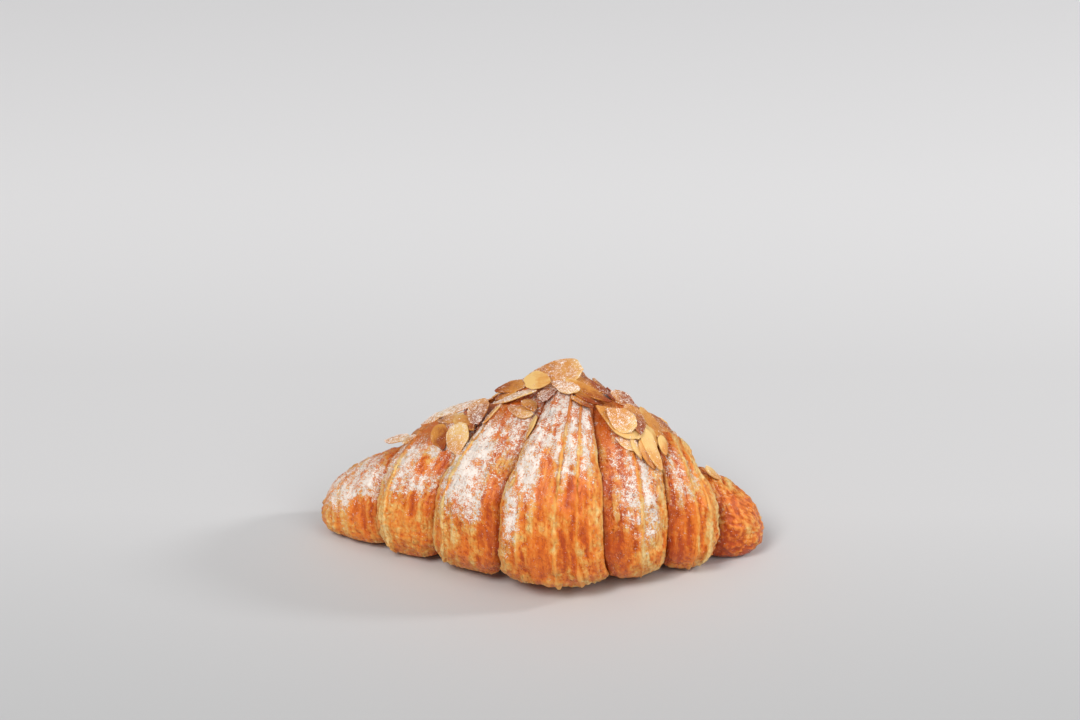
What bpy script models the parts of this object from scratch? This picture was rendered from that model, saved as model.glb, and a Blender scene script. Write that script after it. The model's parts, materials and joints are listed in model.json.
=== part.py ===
"""An almond croissant, modelled as one baked solid.

Seven overlapping wraps of dough follow a crescent spine. A bed of baked almond cream lies along
the crest, and flaked almonds are stuck in it. Everything is fused into the object "croissant".

X runs along the croissant, the bulging front faces -Y, and Z is up. The origin lies on the
table, under the middle of the croissant's box. Sizes below are in millimetres.
"""

import math
import random
from collections import namedtuple

import bmesh
import bpy
import numpy as np
from mathutils import Matrix, Vector, noise
from mathutils.bvhtree import BVHTree

MM = 0.001

# ---------------------------------------------------------------- driving sizes

# The spine is the line that the dough is wound around. Both arms bend away from the front.
ARM_LEFT = 89.5
ARM_RIGHT = 81.0
BOW_LEFT = 18.5
BOW_RIGHT = 17.0
SPINE_X = 4.0  # the middle of the spine, so that the box is centred on the origin
SPINE_Y = 3.5

# The centre wrap is the tallest and the deepest. Both tips end in blunt stubs. The back, on the
# inside of the crescent, bulges less than the front.
BACK_SHARE = 0.86
CENTRE_HEIGHT = 69.5
CENTRE_HALF_DEPTH = 48.0
TIP_LEFT_HEIGHT = 15.5
TIP_LEFT_HALF_DEPTH = 12.0
TIP_RIGHT_HEIGHT = 19.5
TIP_RIGHT_HALF_DEPTH = 13.0
TIP_ROUNDING = 9.0
TIP_POWER = 2.4
TIP_LIFT_LEFT = 1.5  # how far the underside rises off the table at the end
TIP_LIFT_RIGHT = 0.5
LIFT_FROM = 48.0  # the rise starts this far along an arm

# It rests on a flat spot in the middle of the underside, which has these corners in the plan.
# From there the underside rises to all sides, up to a small gap.
REST_CORNERS = ((12.0, -18.0), (50.0, 21.0), (-43.0, 12.0))
REST_SLOPE = 0.1
REST_RISE = 0.8

# A lip is the outer edge of a wrap, which lies over the next wrap towards the tip. Its place
# along the spine is given at the base, halfway up the side and on the crest. Then come the
# wrap's height and half depth there, and the step down to the wrap underneath. Last come its
# ledges, where edges of single sheets of dough show, as distances back from the lip.
Lip = namedtuple("Lip", "base side crest height half_depth step ledges")
LIPS_LEFT = (
    Lip(-12.0, -11.5, 1.5, 69.0, 44.5, 2.6, ()),
    Lip(-37.0, -35.5, -18.0, 62.5, 30.0, 2.2, (3.4,)),
    Lip(-57.0, -59.5, -57.0, 40.5, 23.0, 2.0, (4.0,)),
)
LIPS_RIGHT = (
    Lip(22.5, 20.0, 16.5, 66.5, 44.5, 2.2, (7.5, 14.0)),
    Lip(41.0, 41.5, 37.0, 56.5, 30.5, 2.2, (8.5,)),
    Lip(57.5, 60.5, 54.0, 42.5, 23.5, 8.0, (3.4, 8.0)),
)
LEDGE_HEIGHT = 0.7
LEDGE_REACH = 0.9
SIDE_TURN = math.radians(80)  # where "halfway up the side" is, counted from the crest
BASE_TURN = math.radians(130)

# The cross-section is a dome on a belly with a flat underside.
BELLY_SHARE = 0.38  # the widest level, as a share of the height
SIDE_POWER = 0.95
BASE_POWER = 0.62

BULGE = 2.1  # how far a wrap swells between its edges
BULGE_POWER = 0.8
GROOVE = 1.9  # depth of the crease beside a lip
GROOVE_REACH = 2.6
UNDERCUT = 0.5  # how far the crease runs in under the lip
LIP_ROUND = 1.3  # how far the edge of the lip rolls over
LIP_REACH = 2.2
DENT = 0.9  # slow unevenness of the baked dough
DENT_SIZE = 14.0

# The almond cream was piped along the crest and has baked into a low, lumpy bed.
CREAM_THICKNESS = 1.6
CREAM_FROM = -64.0
CREAM_TO = 50.0
CREAM_FADE = 12.0
CREAM_TURN = math.radians(26)
CREAM_TURN_FADE = math.radians(14)
CREAM_LUMP = 4.3  # the size of its lumps along the spine
CREAM_LUMPS_AROUND = 5.0
CREAM_HOLLOW = 0.25  # how much thinner the cream is between two lumps, as a share

# How closely the crust is divided.
AROUND = 40
RING_GAP = 3.9
RING_CLEAR = 1.6
CAP_RINGS = 4
MIDDLING_HEIGHT = 55.0  # the cross-section on which the points around are spaced evenly
MIDDLING_HALF_DEPTH = 33.0
FINE_TURNS = 1441
SHARP_EDGE = math.radians(35)

# ---------------------------------------------------------------- flaked almonds

FLAKE_THICKNESS = 0.9
FLAKE_SIDES = 12
FLAKE_POINT = 0.6  # 0 is an oval, 1 a sharp drop
FLAKE_CUP = 0.3  # how far the edge of a flake bends down
FLAKE_SINK = 0.6  # how far a flake has settled into what it touches
FLAKE_SPAN = 9.0  # how far to each side of a flake the slope of the crust is measured
FLAKE_TURN = math.radians(5)

# A flake lies at a place along the spine, turned down from the crest (to the front if positive).
# Heading is where it points, from +X round to the back. Rise lifts the pointed end, and roll
# lifts the left side, all in degrees. Each is lowered onto the crust and the flakes before it.
Flake = namedtuple("Flake", "along turn heading rise roll length width")
FLAKES_ON_LEFT = (
    Flake(-61, -15, 188, 20, -20, 11, 8),
    Flake(-53, 10, -16, 0, 6, 9, 5),
    Flake(-47, -12, 180, 0, -20, 11, 7),
    Flake(-38, 27, -72, 0, 0, 14, 9),
    Flake(-37, 6, 162, 0, -10, 13, 8),
    Flake(-29, 21, -48, 0, -8, 15, 8),
    Flake(-29, 36, -88, 3, 0, 14, 12),
    Flake(-24, 15, -80, -8, 0, 15, 11),
    Flake(-30, -26, 4, 0, 0, 12, 7),
    Flake(-36, -13, 2, 0, 18, 22, 10),
    Flake(-19, 22, 250, 0, 15, 12, 5),
    Flake(-3, 32, -94, -14, 35, 11, 6),
)
FLAKES_ON_RIGHT = (
    Flake(61, 12, 8, 0, 6, 10, 6),
    Flake(28, -2, -44, 0, 22, 12, 9),
    Flake(42, -3, 22, 0, 12, 14, 10),
    Flake(38, 12, -60, 0, 2, 21, 8),
    Flake(28, 34, 160, 0, 0, 9, 6),
    Flake(31, 37, -66, 0, -20, 9, 5),
    Flake(35, 39, -60, 0, -4, 13, 7),
    Flake(40, 28, -74, 2, 0, 9, 5),
    Flake(37, 25, -74, 0, 0, 12, 7),
    Flake(36, 35, -62, 4, 4, 19, 7),
    Flake(25, 23, 148, 0, -4, 20, 13),
    Flake(31, 19, -83, 0, 0, 16, 11),
    Flake(25, 23, 156, 0, -14, 13, 12),
)
FLAKES_ON_PEAK = (
    Flake(-16, 0, 178, 0, -8, 10, 8),
    Flake(-14, -4, 188, 12, -18, 13, 9),
    Flake(1, 14, -90, -18, 2, 13, 9),
    Flake(13, 17, -12, 0, -14, 9, 5),
    Flake(14, 13, -18, 0, -6, 11, 6),
    Flake(-9, 20, 152, 0, 6, 13, 7),
    Flake(-5, 16, -55, 0, -30, 10, 7),
    Flake(20, -4, -48, -5, -10, 14, 8),
    Flake(-11, 10, 185, 0, 12, 19, 9),
    Flake(-1, -8, -24, 0, 12, 12, 10),
    Flake(15, 1, -4, -3, 8, 16, 9),
    Flake(15, 8, -2, -4, 6, 19, 8),
    Flake(2, -1, 168, -4, -32, 24, 14),
    Flake(7, 11, 150, 0, -6, 12, 7),
    Flake(-1, 6, -22, -6, 20, 12, 10),
)

# The rest of the bed is strewn by chance. A flake is kept if it lies clear of those before it.
STREWN_SEED = 1
STREWN_TRIES = 600
STREWN_MOST = 26
STREWN_FROM = -58
STREWN_TO = 46
STREWN_TURNS = (-58, -36)
STREWN_GAP = 7.6
STREWN_LENGTHS = (11, 17)
STREWN_WIDTH_SHARES = (0.55, 0.7)
STREWN_RISES = (-3, 4)
STREWN_ROLLS = (-8, 8)


def ease(share):
    """0 to 1 with a soft start and end."""
    share = np.clip(share, 0.0, 1.0)
    return share * share * (3.0 - 2.0 * share)


# ---------------------------------------------------------------- the shape of the crust


def spine(along):
    """Place and direction of the spine in the plan, this far from its middle."""
    left = along < 0
    bow = np.where(left, BOW_LEFT, BOW_RIGHT)
    arm = np.where(left, ARM_LEFT, ARM_RIGHT)
    slope = 2.0 * bow * along / arm**2
    length = np.hypot(1.0, slope)
    return SPINE_X + along, SPINE_Y + bow * (along / arm) ** 2, 1.0 / length, slope / length


def lift(along):
    """How far the underside stands off the table."""
    rise = np.where(along < 0, TIP_LIFT_LEFT, TIP_LIFT_RIGHT)
    arm = np.where(along < 0, ARM_LEFT, ARM_RIGHT)
    return rise * ease((np.abs(along) - LIFT_FROM) / (arm - LIFT_FROM))


def lip_line(lip, turn):
    """Where a lip runs along the spine, at each angle from the crest."""
    down = np.abs(turn)
    to_side = ease(down / SIDE_TURN)
    to_base = ease((down - SIDE_TURN) / (BASE_TURN - SIDE_TURN))
    return lip.crest + (lip.side - lip.crest) * to_side + (lip.base - lip.side) * to_base


def outline(turn, height, half_depth, swell, roundness):
    """The cross-section at each angle from the crest: (towards the front, up)."""
    up = np.cos(turn)
    out = np.sin(turn)
    belly = BELLY_SHARE * height
    bulge = np.where(out < 0, half_depth * BACK_SHARE, half_depth)
    forward = np.sign(out) * np.abs(out) ** SIDE_POWER * (bulge * roundness + swell)
    dome = belly + up * ((height - belly) * roundness + swell)
    floor = belly - np.abs(up) ** BASE_POWER * (belly * roundness + swell)
    return forward, np.where(up >= 0, dome, np.maximum(floor, 0.0))


def cream_rise(along, turn):
    """Thickness of the baked cream, which fades out at its ends and sides."""
    ends = ease((along - CREAM_FROM) / CREAM_FADE) * ease((CREAM_TO - along) / CREAM_FADE)
    sides = 1.0 - ease((np.abs(turn) - CREAM_TURN) / CREAM_TURN_FADE)
    wave = np.sin(along / CREAM_LUMP) * np.cos(turn * CREAM_LUMPS_AROUND + along / CREAM_LUMP / 2)
    return CREAM_THICKNESS * ends * sides * (1.0 - CREAM_HOLLOW * (1.0 - wave))


Edge = namedtuple("Edge", "lip height half_depth kind")


def edge_over(lip):
    """The lip itself, as the outer edge of its own wrap."""
    return Edge(lip, lip.height, lip.half_depth, "lip")


def edge_under(lip):
    """The crease where the next wrap comes out from under a lip."""
    return Edge(lip, lip.height - lip.step, lip.half_depth - lip.step, "crease")


def edge_at_end(arm, height, half_depth):
    """The end of a tip."""
    return Edge(Lip(arm, arm, arm, height, half_depth, 0.0, ()), height, half_depth, "end")


def wraps():
    """The left and right edge of each wrap, from the left tip to the right one."""
    return (
        (edge_at_end(-ARM_LEFT, TIP_LEFT_HEIGHT, TIP_LEFT_HALF_DEPTH), edge_under(LIPS_LEFT[2])),
        (edge_over(LIPS_LEFT[2]), edge_under(LIPS_LEFT[1])),
        (edge_over(LIPS_LEFT[1]), edge_under(LIPS_LEFT[0])),
        (edge_over(LIPS_LEFT[0]), edge_over(LIPS_RIGHT[0])),
        (edge_under(LIPS_RIGHT[0]), edge_over(LIPS_RIGHT[1])),
        (edge_under(LIPS_RIGHT[1]), edge_over(LIPS_RIGHT[2])),
        (edge_under(LIPS_RIGHT[2]), edge_at_end(ARM_RIGHT, TIP_RIGHT_HEIGHT, TIP_RIGHT_HALF_DEPTH)),
    )


def is_centre(wrap):
    return wrap[0].kind == wrap[1].kind == "lip"


def edge_lines(wrap, turn):
    """Where a wrap's two edges run. A crease starts a little way in under the lip."""
    lines = [lip_line(edge.lip, turn) for edge in wrap]
    for side, edge in enumerate(wrap):
        if edge.kind == "crease":
            lines[side] = lines[side] - math.copysign(UNDERCUT, edge.lip.base)
    return lines


def width_of(wrap):
    """A wrap's width halfway up the side."""
    return wrap[1].lip.side - wrap[0].lip.side


def relief(wrap, share):
    """How far the surface stands out at this share of a wrap's width, and how round its end is."""
    width = width_of(wrap)
    swell = BULGE * math.sin(math.pi * share) ** BULGE_POWER
    roundness = 1.0
    for edge, distance in zip(wrap, (share * width, (1.0 - share) * width)):
        if edge.kind == "crease":
            swell -= GROOVE * math.exp(-distance / GROOVE_REACH)
        if edge.kind == "lip":
            swell -= LIP_ROUND * max(0.0, 1.0 - distance / LIP_REACH) ** 2
            for set_back in edge.lip.ledges:
                swell += LEDGE_HEIGHT * math.exp(-(((distance - set_back) / LEDGE_REACH) ** 2))
        if edge.kind == "end" and distance < TIP_ROUNDING:
            inset = 1.0 - distance / TIP_ROUNDING
            roundness = max(0.0, 1.0 - inset**TIP_POWER) ** (1.0 / TIP_POWER)
    return swell * roundness, roundness


def surface(wrap, share, turn):
    """Points of the crust at one share of a wrap's width and the given angles, as rows of x, y, z."""
    first, last = wrap
    start, stop = edge_lines(wrap, turn)
    along = start + (stop - start) * share
    height = first.height + (last.height - first.height) * share
    half_depth = first.half_depth + (last.half_depth - first.half_depth) * share
    if is_centre(wrap):
        hump = 1.0 - (2.0 * share - 1.0) ** 2
        height += (CENTRE_HEIGHT - (first.height + last.height) / 2) * hump
        half_depth += (CENTRE_HALF_DEPTH - (first.half_depth + last.half_depth) / 2) * hump
    swell, roundness = relief(wrap, share)
    swell = swell + cream_rise(along, turn)
    x, y, run_x, run_y = spine(along)
    forward, up = outline(turn, height, half_depth, swell, roundness)
    return np.stack([x + forward * run_y, y - forward * run_x, up + lift(along)], axis=-1)


def on_crust(along, turn):
    """The point of the crust at a place along the spine and an angle from the crest."""
    turn = np.array([turn])
    for wrap in wraps():
        start, stop = edge_lines(wrap, turn)
        share = (along - start[0]) / (stop[0] - start[0])
        if share <= 1.0:
            return Vector(surface(wrap, max(share, 0.0), turn)[0])
    return Vector(surface(wrap, 1.0, turn)[0])


# ---------------------------------------------------------------- the crust as a mesh


def even_turns(count):
    """Angles that space the points of a middling cross-section evenly, round from the underside."""
    fine = np.linspace(-math.pi, math.pi, FINE_TURNS)
    forward, up = outline(fine, MIDDLING_HEIGHT, MIDDLING_HALF_DEPTH, 0.0, 1.0)
    path = np.concatenate([[0.0], np.cumsum(np.hypot(np.diff(forward), np.diff(up)))])
    return np.interp(np.linspace(0.0, path[-1], count, endpoint=False), path, fine)


def ring_distances(edge):
    """Where rings of points lie close to an edge, and how far from it they replace the even ones."""
    if edge.kind == "end":
        angles = [math.pi / 2 * (k + 1) / CAP_RINGS for k in range(CAP_RINGS)]
        return [(1.0 - math.cos(angle) ** (2.0 / TIP_POWER)) * TIP_ROUNDING for angle in angles]
    if edge.kind == "crease":
        return [0.0, GROOVE_REACH]
    ledges = [set_back + side * LEDGE_REACH for set_back in edge.lip.ledges for side in (-1, 0, 1)]
    return [0.0, LIP_REACH] + ledges


def ring_shares(wrap):
    """Where a wrap has rings of points, as shares of its width."""
    width = width_of(wrap)
    first, last = wrap
    near = [distance / width for distance in ring_distances(first)]
    near += [1.0 - distance / width for distance in ring_distances(last)]
    even = np.linspace(0.0, 1.0, max(4, round(width / RING_GAP)) + 1)
    clear = RING_CLEAR / width
    even = [share for share in even[1:-1] if min(abs(share - other) for other in near) > clear]
    return sorted(near + even)


def crust_mesh():
    """A closed tube of rings with a point at each end."""
    turn = even_turns(AROUND)
    rings = [surface(wrap, share, turn) for wrap in wraps() for share in ring_shares(wrap)]
    mesh = bmesh.new()
    rows = [[mesh.verts.new(point) for point in ring] for ring in rings]
    for row, following in zip(rows, rows[1:]):
        for k in range(AROUND):
            after = (k + 1) % AROUND
            mesh.faces.new((row[k], row[after], following[after], following[k]))
    for row, wrap, side in ((rows[0], wraps()[0], 0), (rows[-1], wraps()[-1], 1)):
        end = mesh.verts.new(surface(wrap, float(side), np.array([0.0]))[0])
        for k in range(AROUND):
            mesh.faces.new((end, row[k], row[(k + 1) % AROUND]))
    bmesh.ops.recalc_face_normals(mesh, faces=mesh.faces)
    return mesh


def rest_gap(x, y):
    """How far the underside stands off the table at a place in the plan."""
    beyond = 0.0
    for (x1, y1), (x2, y2) in zip(REST_CORNERS, REST_CORNERS[1:] + REST_CORNERS[:1]):
        across = (x - x1) * (y2 - y1) - (y - y1) * (x2 - x1)
        beyond = np.maximum(beyond, across / math.hypot(x2 - x1, y2 - y1))
    return np.minimum(REST_SLOPE * beyond, REST_RISE)


def dent(mesh):
    """Slow unevenness, which leaves the spot that the croissant rests on flat."""
    mesh.normal_update()
    shifts = [noise.noise(vert.co / DENT_SIZE) * DENT for vert in mesh.verts]
    for vert, shift in zip(mesh.verts, shifts):
        hold = float(ease(vert.co.z / DENT_SIZE))
        vert.co += vert.normal * shift * hold
        vert.co.z = max(vert.co.z, float(rest_gap(vert.co.x, vert.co.y)))


# ---------------------------------------------------------------- the almonds as meshes


def flake_frame(flake):
    """A flake's turn and place before it is lowered, and the way out from the crust there.

    The x axis of the frame is the flake's length, and its z axis faces out.
    """
    turn = math.radians(flake.turn)
    left = on_crust(flake.along - FLAKE_SPAN, turn)
    right = on_crust(flake.along + FLAKE_SPAN, turn)
    uphill = on_crust(flake.along, turn - FLAKE_TURN) - on_crust(flake.along, turn + FLAKE_TURN)
    run = (right - left).normalized()
    out = run.cross(uphill).normalized()
    frame = Matrix((run, out.cross(run), out)).transposed().to_4x4()
    spin = Matrix.Rotation(math.radians(flake.heading), 4, "Z")
    pitch = Matrix.Rotation(-math.radians(flake.rise), 4, "Y")
    roll = Matrix.Rotation(math.radians(flake.roll), 4, "X")
    place = Matrix.Translation(on_crust(flake.along, turn))
    return place @ frame @ spin @ pitch @ roll, out


def flake_mesh(flake):
    """A thin, slightly cupped almond flake, pointed at one end, with both faces split alike."""
    angle = np.linspace(0.0, 2.0 * math.pi, FLAKE_SIDES, endpoint=False)
    x = flake.length / 2 * np.cos(angle)
    y = flake.width / 2 * np.sin(angle) * np.sin(angle / 2.0) ** FLAKE_POINT
    mesh = bmesh.new()
    edges = []
    middles = []
    for level in (FLAKE_THICKNESS / 2, -FLAKE_THICKNESS / 2):
        edges.append([mesh.verts.new((px, py, level - FLAKE_CUP)) for px, py in zip(x, y)])
        middles.append(mesh.verts.new((0.0, 0.0, level)))
    top, under = edges
    for k in range(FLAKE_SIDES):
        after = (k + 1) % FLAKE_SIDES
        mesh.faces.new((middles[0], top[k], top[after]))
        mesh.faces.new((middles[1], under[after], under[k]))
        mesh.faces.new((top[k], under[k], under[after], top[after]))
    return mesh


class Pile:
    """The crust and the flakes that lie on it so far, to lower the next flake onto."""

    def __init__(self, mesh):
        self.points = []
        self.faces = []
        self.add(mesh)

    def add(self, mesh):
        mesh.verts.index_update()
        first = len(self.points)
        self.points += [vert.co.copy() for vert in mesh.verts]
        self.faces += [[first + vert.index for vert in face.verts] for face in mesh.faces]
        self.tree = BVHTree.FromPolygons(self.points, self.faces)

    def clearance(self, point, out):
        """How far a point is above the pile, measured against the way out."""
        reach = max(TIP_LEFT_HEIGHT, TIP_RIGHT_HEIGHT)
        distance = self.tree.ray_cast(point + out * reach, -out)[3]
        return math.inf if distance is None else distance - reach


def lay(flake, pile):
    """The flake's mesh, lowered until it has settled into the pile."""
    mesh = flake_mesh(flake)
    matrix, out = flake_frame(flake)
    mesh.transform(matrix)
    drop = min(pile.clearance(vert.co, out) for vert in mesh.verts) + FLAKE_SINK
    mesh.transform(Matrix.Translation(-out * drop))
    bmesh.ops.recalc_face_normals(mesh, faces=mesh.faces)
    pile.add(mesh)
    return mesh


def strewn_flakes(placed):
    """More flakes over the crest and the back, by a seeded draw that keeps a gap between them."""
    draw = random.Random(STREWN_SEED)
    taken = [on_crust(flake.along, math.radians(flake.turn)) for flake in placed]
    strewn = []
    for _ in range(STREWN_TRIES):
        along = draw.uniform(STREWN_FROM, STREWN_TO)
        turn = draw.uniform(*STREWN_TURNS)
        place = on_crust(along, math.radians(turn))
        clear = all((place - other).length > STREWN_GAP for other in taken)
        if clear and len(strewn) < STREWN_MOST:
            length = draw.uniform(*STREWN_LENGTHS)
            width = length * draw.uniform(*STREWN_WIDTH_SHARES)
            heading = draw.uniform(0, 360)
            rise = draw.uniform(*STREWN_RISES)
            roll = draw.uniform(*STREWN_ROLLS)
            strewn.append(Flake(along, turn, heading, rise, roll, length, width))
            taken.append(place)
    return tuple(strewn)


# ---------------------------------------------------------------- building the object


def clear_scene():
    for existing in list(bpy.data.objects):
        bpy.data.objects.remove(existing, do_unlink=True)


def crust_material():
    """Golden brown crust."""
    material = bpy.data.materials.new("baked crust")
    material.use_nodes = True
    shader = material.node_tree.nodes["Principled BSDF"]
    shader.inputs["Base Color"].default_value = (0.60, 0.23, 0.05, 1.0)
    shader.inputs["Roughness"].default_value = 0.45
    shader.inputs["Metallic"].default_value = 0.0
    return material


def object_of(name, mesh, material):
    """Turns a bmesh in millimetres into an object in metres."""
    mesh.transform(Matrix.Scale(MM, 4))
    data = bpy.data.meshes.new(name)
    mesh.to_mesh(data)
    mesh.free()
    data.materials.append(material)
    made = bpy.data.objects.new(name, data)
    bpy.context.scene.collection.objects.link(made)
    return made


def fuse(base, pieces):
    """Joins the pieces to the base for good, and removes them."""
    group = bpy.data.collections.new("almonds")
    for piece in pieces:
        group.objects.link(piece)
    union = base.modifiers.new("almonds", "BOOLEAN")
    union.operation = "UNION"
    union.operand_type = "COLLECTION"
    union.collection = group
    bpy.context.view_layer.update()
    fused = bpy.data.meshes.new_from_object(base.evaluated_get(bpy.context.evaluated_depsgraph_get()))
    base.modifiers.remove(union)
    base.data = fused
    for piece in pieces:
        bpy.data.objects.remove(piece, do_unlink=True)
    bpy.data.collections.remove(group)


def keep_largest_shell(base):
    """Drops scraps and fills hollows that fusing has sealed: only the outer skin is kept."""
    mesh = bmesh.new()
    mesh.from_mesh(base.data)
    left = set(mesh.verts)
    shells = []
    while left:
        shell = {left.pop()}
        front = list(shell)
        while front:
            found = {edge.other_vert(vert) for vert in front for edge in vert.link_edges} - shell
            shell |= found
            front = list(found)
        left -= shell
        shells.append(shell)
    shells.sort(key=len)
    spare = [vert for shell in shells[:-1] for vert in shell]
    bmesh.ops.delete(mesh, geom=spare, context="VERTS")
    mesh.to_mesh(base.data)
    mesh.free()
    return len(spare)


def main():
    clear_scene()
    material = crust_material()
    crust = crust_mesh()
    dent(crust)
    pile = Pile(crust)
    placed = FLAKES_ON_LEFT + FLAKES_ON_RIGHT + FLAKES_ON_PEAK
    flakes = strewn_flakes(placed) + placed
    meshes = [lay(flake, pile) for flake in flakes]
    croissant = object_of("croissant", crust, material)
    fuse(croissant, [object_of(f"flake_{k}", mesh, material) for k, mesh in enumerate(meshes)])
    spare = keep_largest_shell(croissant)
    croissant.data.shade_smooth()
    croissant.data.set_sharp_from_angle(angle=SHARP_EDGE)
    print(f"{len(flakes)} flakes, {len(croissant.data.polygons)} faces, {spare} spare points dropped")


main()
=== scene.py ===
# %% [markdown]
# # An almond croissant, dressed
#
# This lesson takes a plain solid croissant and gives it the looks of a real one: crisp layered
# crust, toasted almond flakes and a dusting of icing sugar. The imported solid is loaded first, as
# a fixed frame. Every piece made below is laid on it, in the same place and at the same size.

import json
import math
import random
from collections import namedtuple

import bmesh
import bpy
import numpy as np
from mathutils import Matrix, Vector, noise
from mathutils.bvhtree import BVHTree

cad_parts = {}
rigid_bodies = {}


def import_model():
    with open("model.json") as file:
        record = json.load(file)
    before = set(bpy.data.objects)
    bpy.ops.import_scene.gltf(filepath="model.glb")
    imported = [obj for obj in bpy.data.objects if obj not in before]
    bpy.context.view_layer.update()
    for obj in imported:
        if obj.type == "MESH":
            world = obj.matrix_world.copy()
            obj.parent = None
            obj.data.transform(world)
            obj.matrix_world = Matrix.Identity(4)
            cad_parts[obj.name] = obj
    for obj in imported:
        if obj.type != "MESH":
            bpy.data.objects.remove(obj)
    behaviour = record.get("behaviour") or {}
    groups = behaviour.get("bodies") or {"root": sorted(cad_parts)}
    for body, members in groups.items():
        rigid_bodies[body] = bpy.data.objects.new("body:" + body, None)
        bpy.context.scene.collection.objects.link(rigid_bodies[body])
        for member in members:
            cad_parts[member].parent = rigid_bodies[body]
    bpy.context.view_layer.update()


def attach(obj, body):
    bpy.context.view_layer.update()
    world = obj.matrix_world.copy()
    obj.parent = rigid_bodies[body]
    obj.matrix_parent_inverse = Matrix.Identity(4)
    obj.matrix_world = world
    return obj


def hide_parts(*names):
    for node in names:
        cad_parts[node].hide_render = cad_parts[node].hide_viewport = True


for leftover in list(bpy.data.objects):
    bpy.data.objects.remove(leftover, do_unlink=True)
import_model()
MM = 0.001

# %% [markdown]
# ## The camera
#
# The croissant was photographed from a little right of square on, looking down by about 26
# degrees, through a long lens that hardly distorts. The camera could be placed by eye. It is
# placed here by angles around the middle of the croissant's spine instead, and then turned so
# that this point falls where it is in the picture, low in the frame.

# %% Place the camera
PICTURE_WIDTH = 1080
PICTURE_HEIGHT = 720
FOCAL_PIXELS = 2550.0
SENSOR_WIDTH = 36.0
CAMERA_SIDE = math.radians(6.0)
CAMERA_DOWN = math.radians(26.5)
CAMERA_DISTANCE = 1.0
AIM = Vector((4.0, 3.4, 0.0)) * MM
AIM_COLUMN = 549.0
AIM_ROW = 550.5


def direction_from(side, down):
    """The way from the croissant to a camera that looks down at it from this side."""
    return Vector((math.sin(side) * math.cos(down), -math.cos(side) * math.cos(down), math.sin(down)))


turned = CAMERA_SIDE + math.atan((AIM_COLUMN - PICTURE_WIDTH / 2) / FOCAL_PIXELS)
tipped = CAMERA_DOWN - math.atan((AIM_ROW - PICTURE_HEIGHT / 2) / FOCAL_PIXELS)
camera_data = bpy.data.cameras.new("camera")
camera_data.sensor_width = SENSOR_WIDTH
camera_data.lens = SENSOR_WIDTH * FOCAL_PIXELS / PICTURE_WIDTH
camera = bpy.data.objects.new("camera", camera_data)
camera.location = AIM + direction_from(CAMERA_SIDE, CAMERA_DOWN) * CAMERA_DISTANCE
camera.rotation_euler = (-direction_from(turned, tipped)).to_track_quat("-Z", "Y").to_euler()
bpy.context.scene.collection.objects.link(camera)
bpy.context.scene.camera = camera
print(f"lens {camera_data.lens:.1f} mm, camera {camera.location.z * 100:.1f} cm above the table")

# %% [markdown]
# ## Small helpers for materials
#
# A material is a graph of nodes. Building one by code takes two lines for each node, so one small
# helper adds a node and fills its sockets. A value that is itself a socket is linked, and any
# other value is typed in. Colours are given as they look on a screen, from 0 to 255, and turned
# into the linear light that the renderer works in.


# %% Helpers for nodes and colours
def linear(red, green, blue):
    """A screen colour as linear light."""
    parts = np.array([red, green, blue]) / 255.0
    light = np.where(parts <= 0.04045, parts / 12.92, ((parts + 0.055) / 1.055) ** 2.4)
    return (*light.tolist(), 1.0)


def fill(tree, node, sockets):
    """Fills sockets, from (name or number, value) pairs. A value may be another socket."""
    for name, value in sockets:
        if isinstance(value, bpy.types.NodeSocket):
            tree.links.new(value, node.inputs[name])
        else:
            node.inputs[name].default_value = value


def add_node(tree, kind, sockets=(), **settings):
    """Adds a node with these settings and fills its sockets."""
    node = tree.nodes.new(kind)
    for name, value in settings.items():
        setattr(node, name, value)
    fill(tree, node, sockets)
    return node


def new_material(name):
    """An empty material, its node tree and its shader."""
    material = bpy.data.materials.new(name)
    material.use_nodes = True
    return material, material.node_tree, material.node_tree.nodes["Principled BSDF"]


def object_place(tree):
    """Where a spot of the surface is, in metres."""
    return add_node(tree, "ShaderNodeTexCoord").outputs["Object"]


def math_node(tree, operation, first, second=0.0, third=0.0, clamp=False):
    """The result of one sum, product or the like."""
    sockets = ((0, first), (1, second), (2, third))
    return add_node(tree, "ShaderNodeMath", sockets, operation=operation, use_clamp=clamp).outputs[0]


def ramp(tree, value, low, high):
    """0 below low, 1 above high, and smooth between."""
    sockets = (("Value", value), ("From Min", low), ("From Max", high))
    node = add_node(tree, "ShaderNodeMapRange", sockets, interpolation_type="SMOOTHSTEP")
    return node.outputs[0]


def colour_ramp(tree, value, stops):
    """A colour picked by a number, from (number, colour) stops."""
    node = add_node(tree, "ShaderNodeValToRGB", ((0, value),))
    marks = node.color_ramp.elements
    marks.remove(marks[1])
    marks[0].position, marks[0].color = stops[0]
    for position, colour in stops[1:]:
        marks.new(position).color = colour
    return node.outputs[0]


print("helpers ready")

# %% [markdown]
# ## The table
#
# The table is a plain pale sheet that runs far back, so that no horizon shows. Its colour goes
# from a darker grey near the camera to a paler one far behind the croissant: painted shade, as
# the light falls off towards the camera. An image would do that too, but four tones, picked by
# how deep a spot lies, are enough and stay smooth.

# %% The table
TABLE_REACH = 6.0
TABLE_DEPTHS = (-0.25, 0.5)  # where the first and the last tone lie, in metres
TABLE_SLANT = -0.1  # the tones lie a little further back on the right
# Painted shade: the darker tones stand in for light that falls off towards the camera.
TABLE_PAINTED_SHADE_TONES = (
    (0.0, linear(188, 189, 190)),
    (0.33, linear(214, 214, 215)),
    (0.63, linear(218, 218, 219)),
    (1.0, linear(233, 233, 234)),
)
TABLE_ROUGHNESS = 0.7
TABLE_SHINE = 0.2

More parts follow.
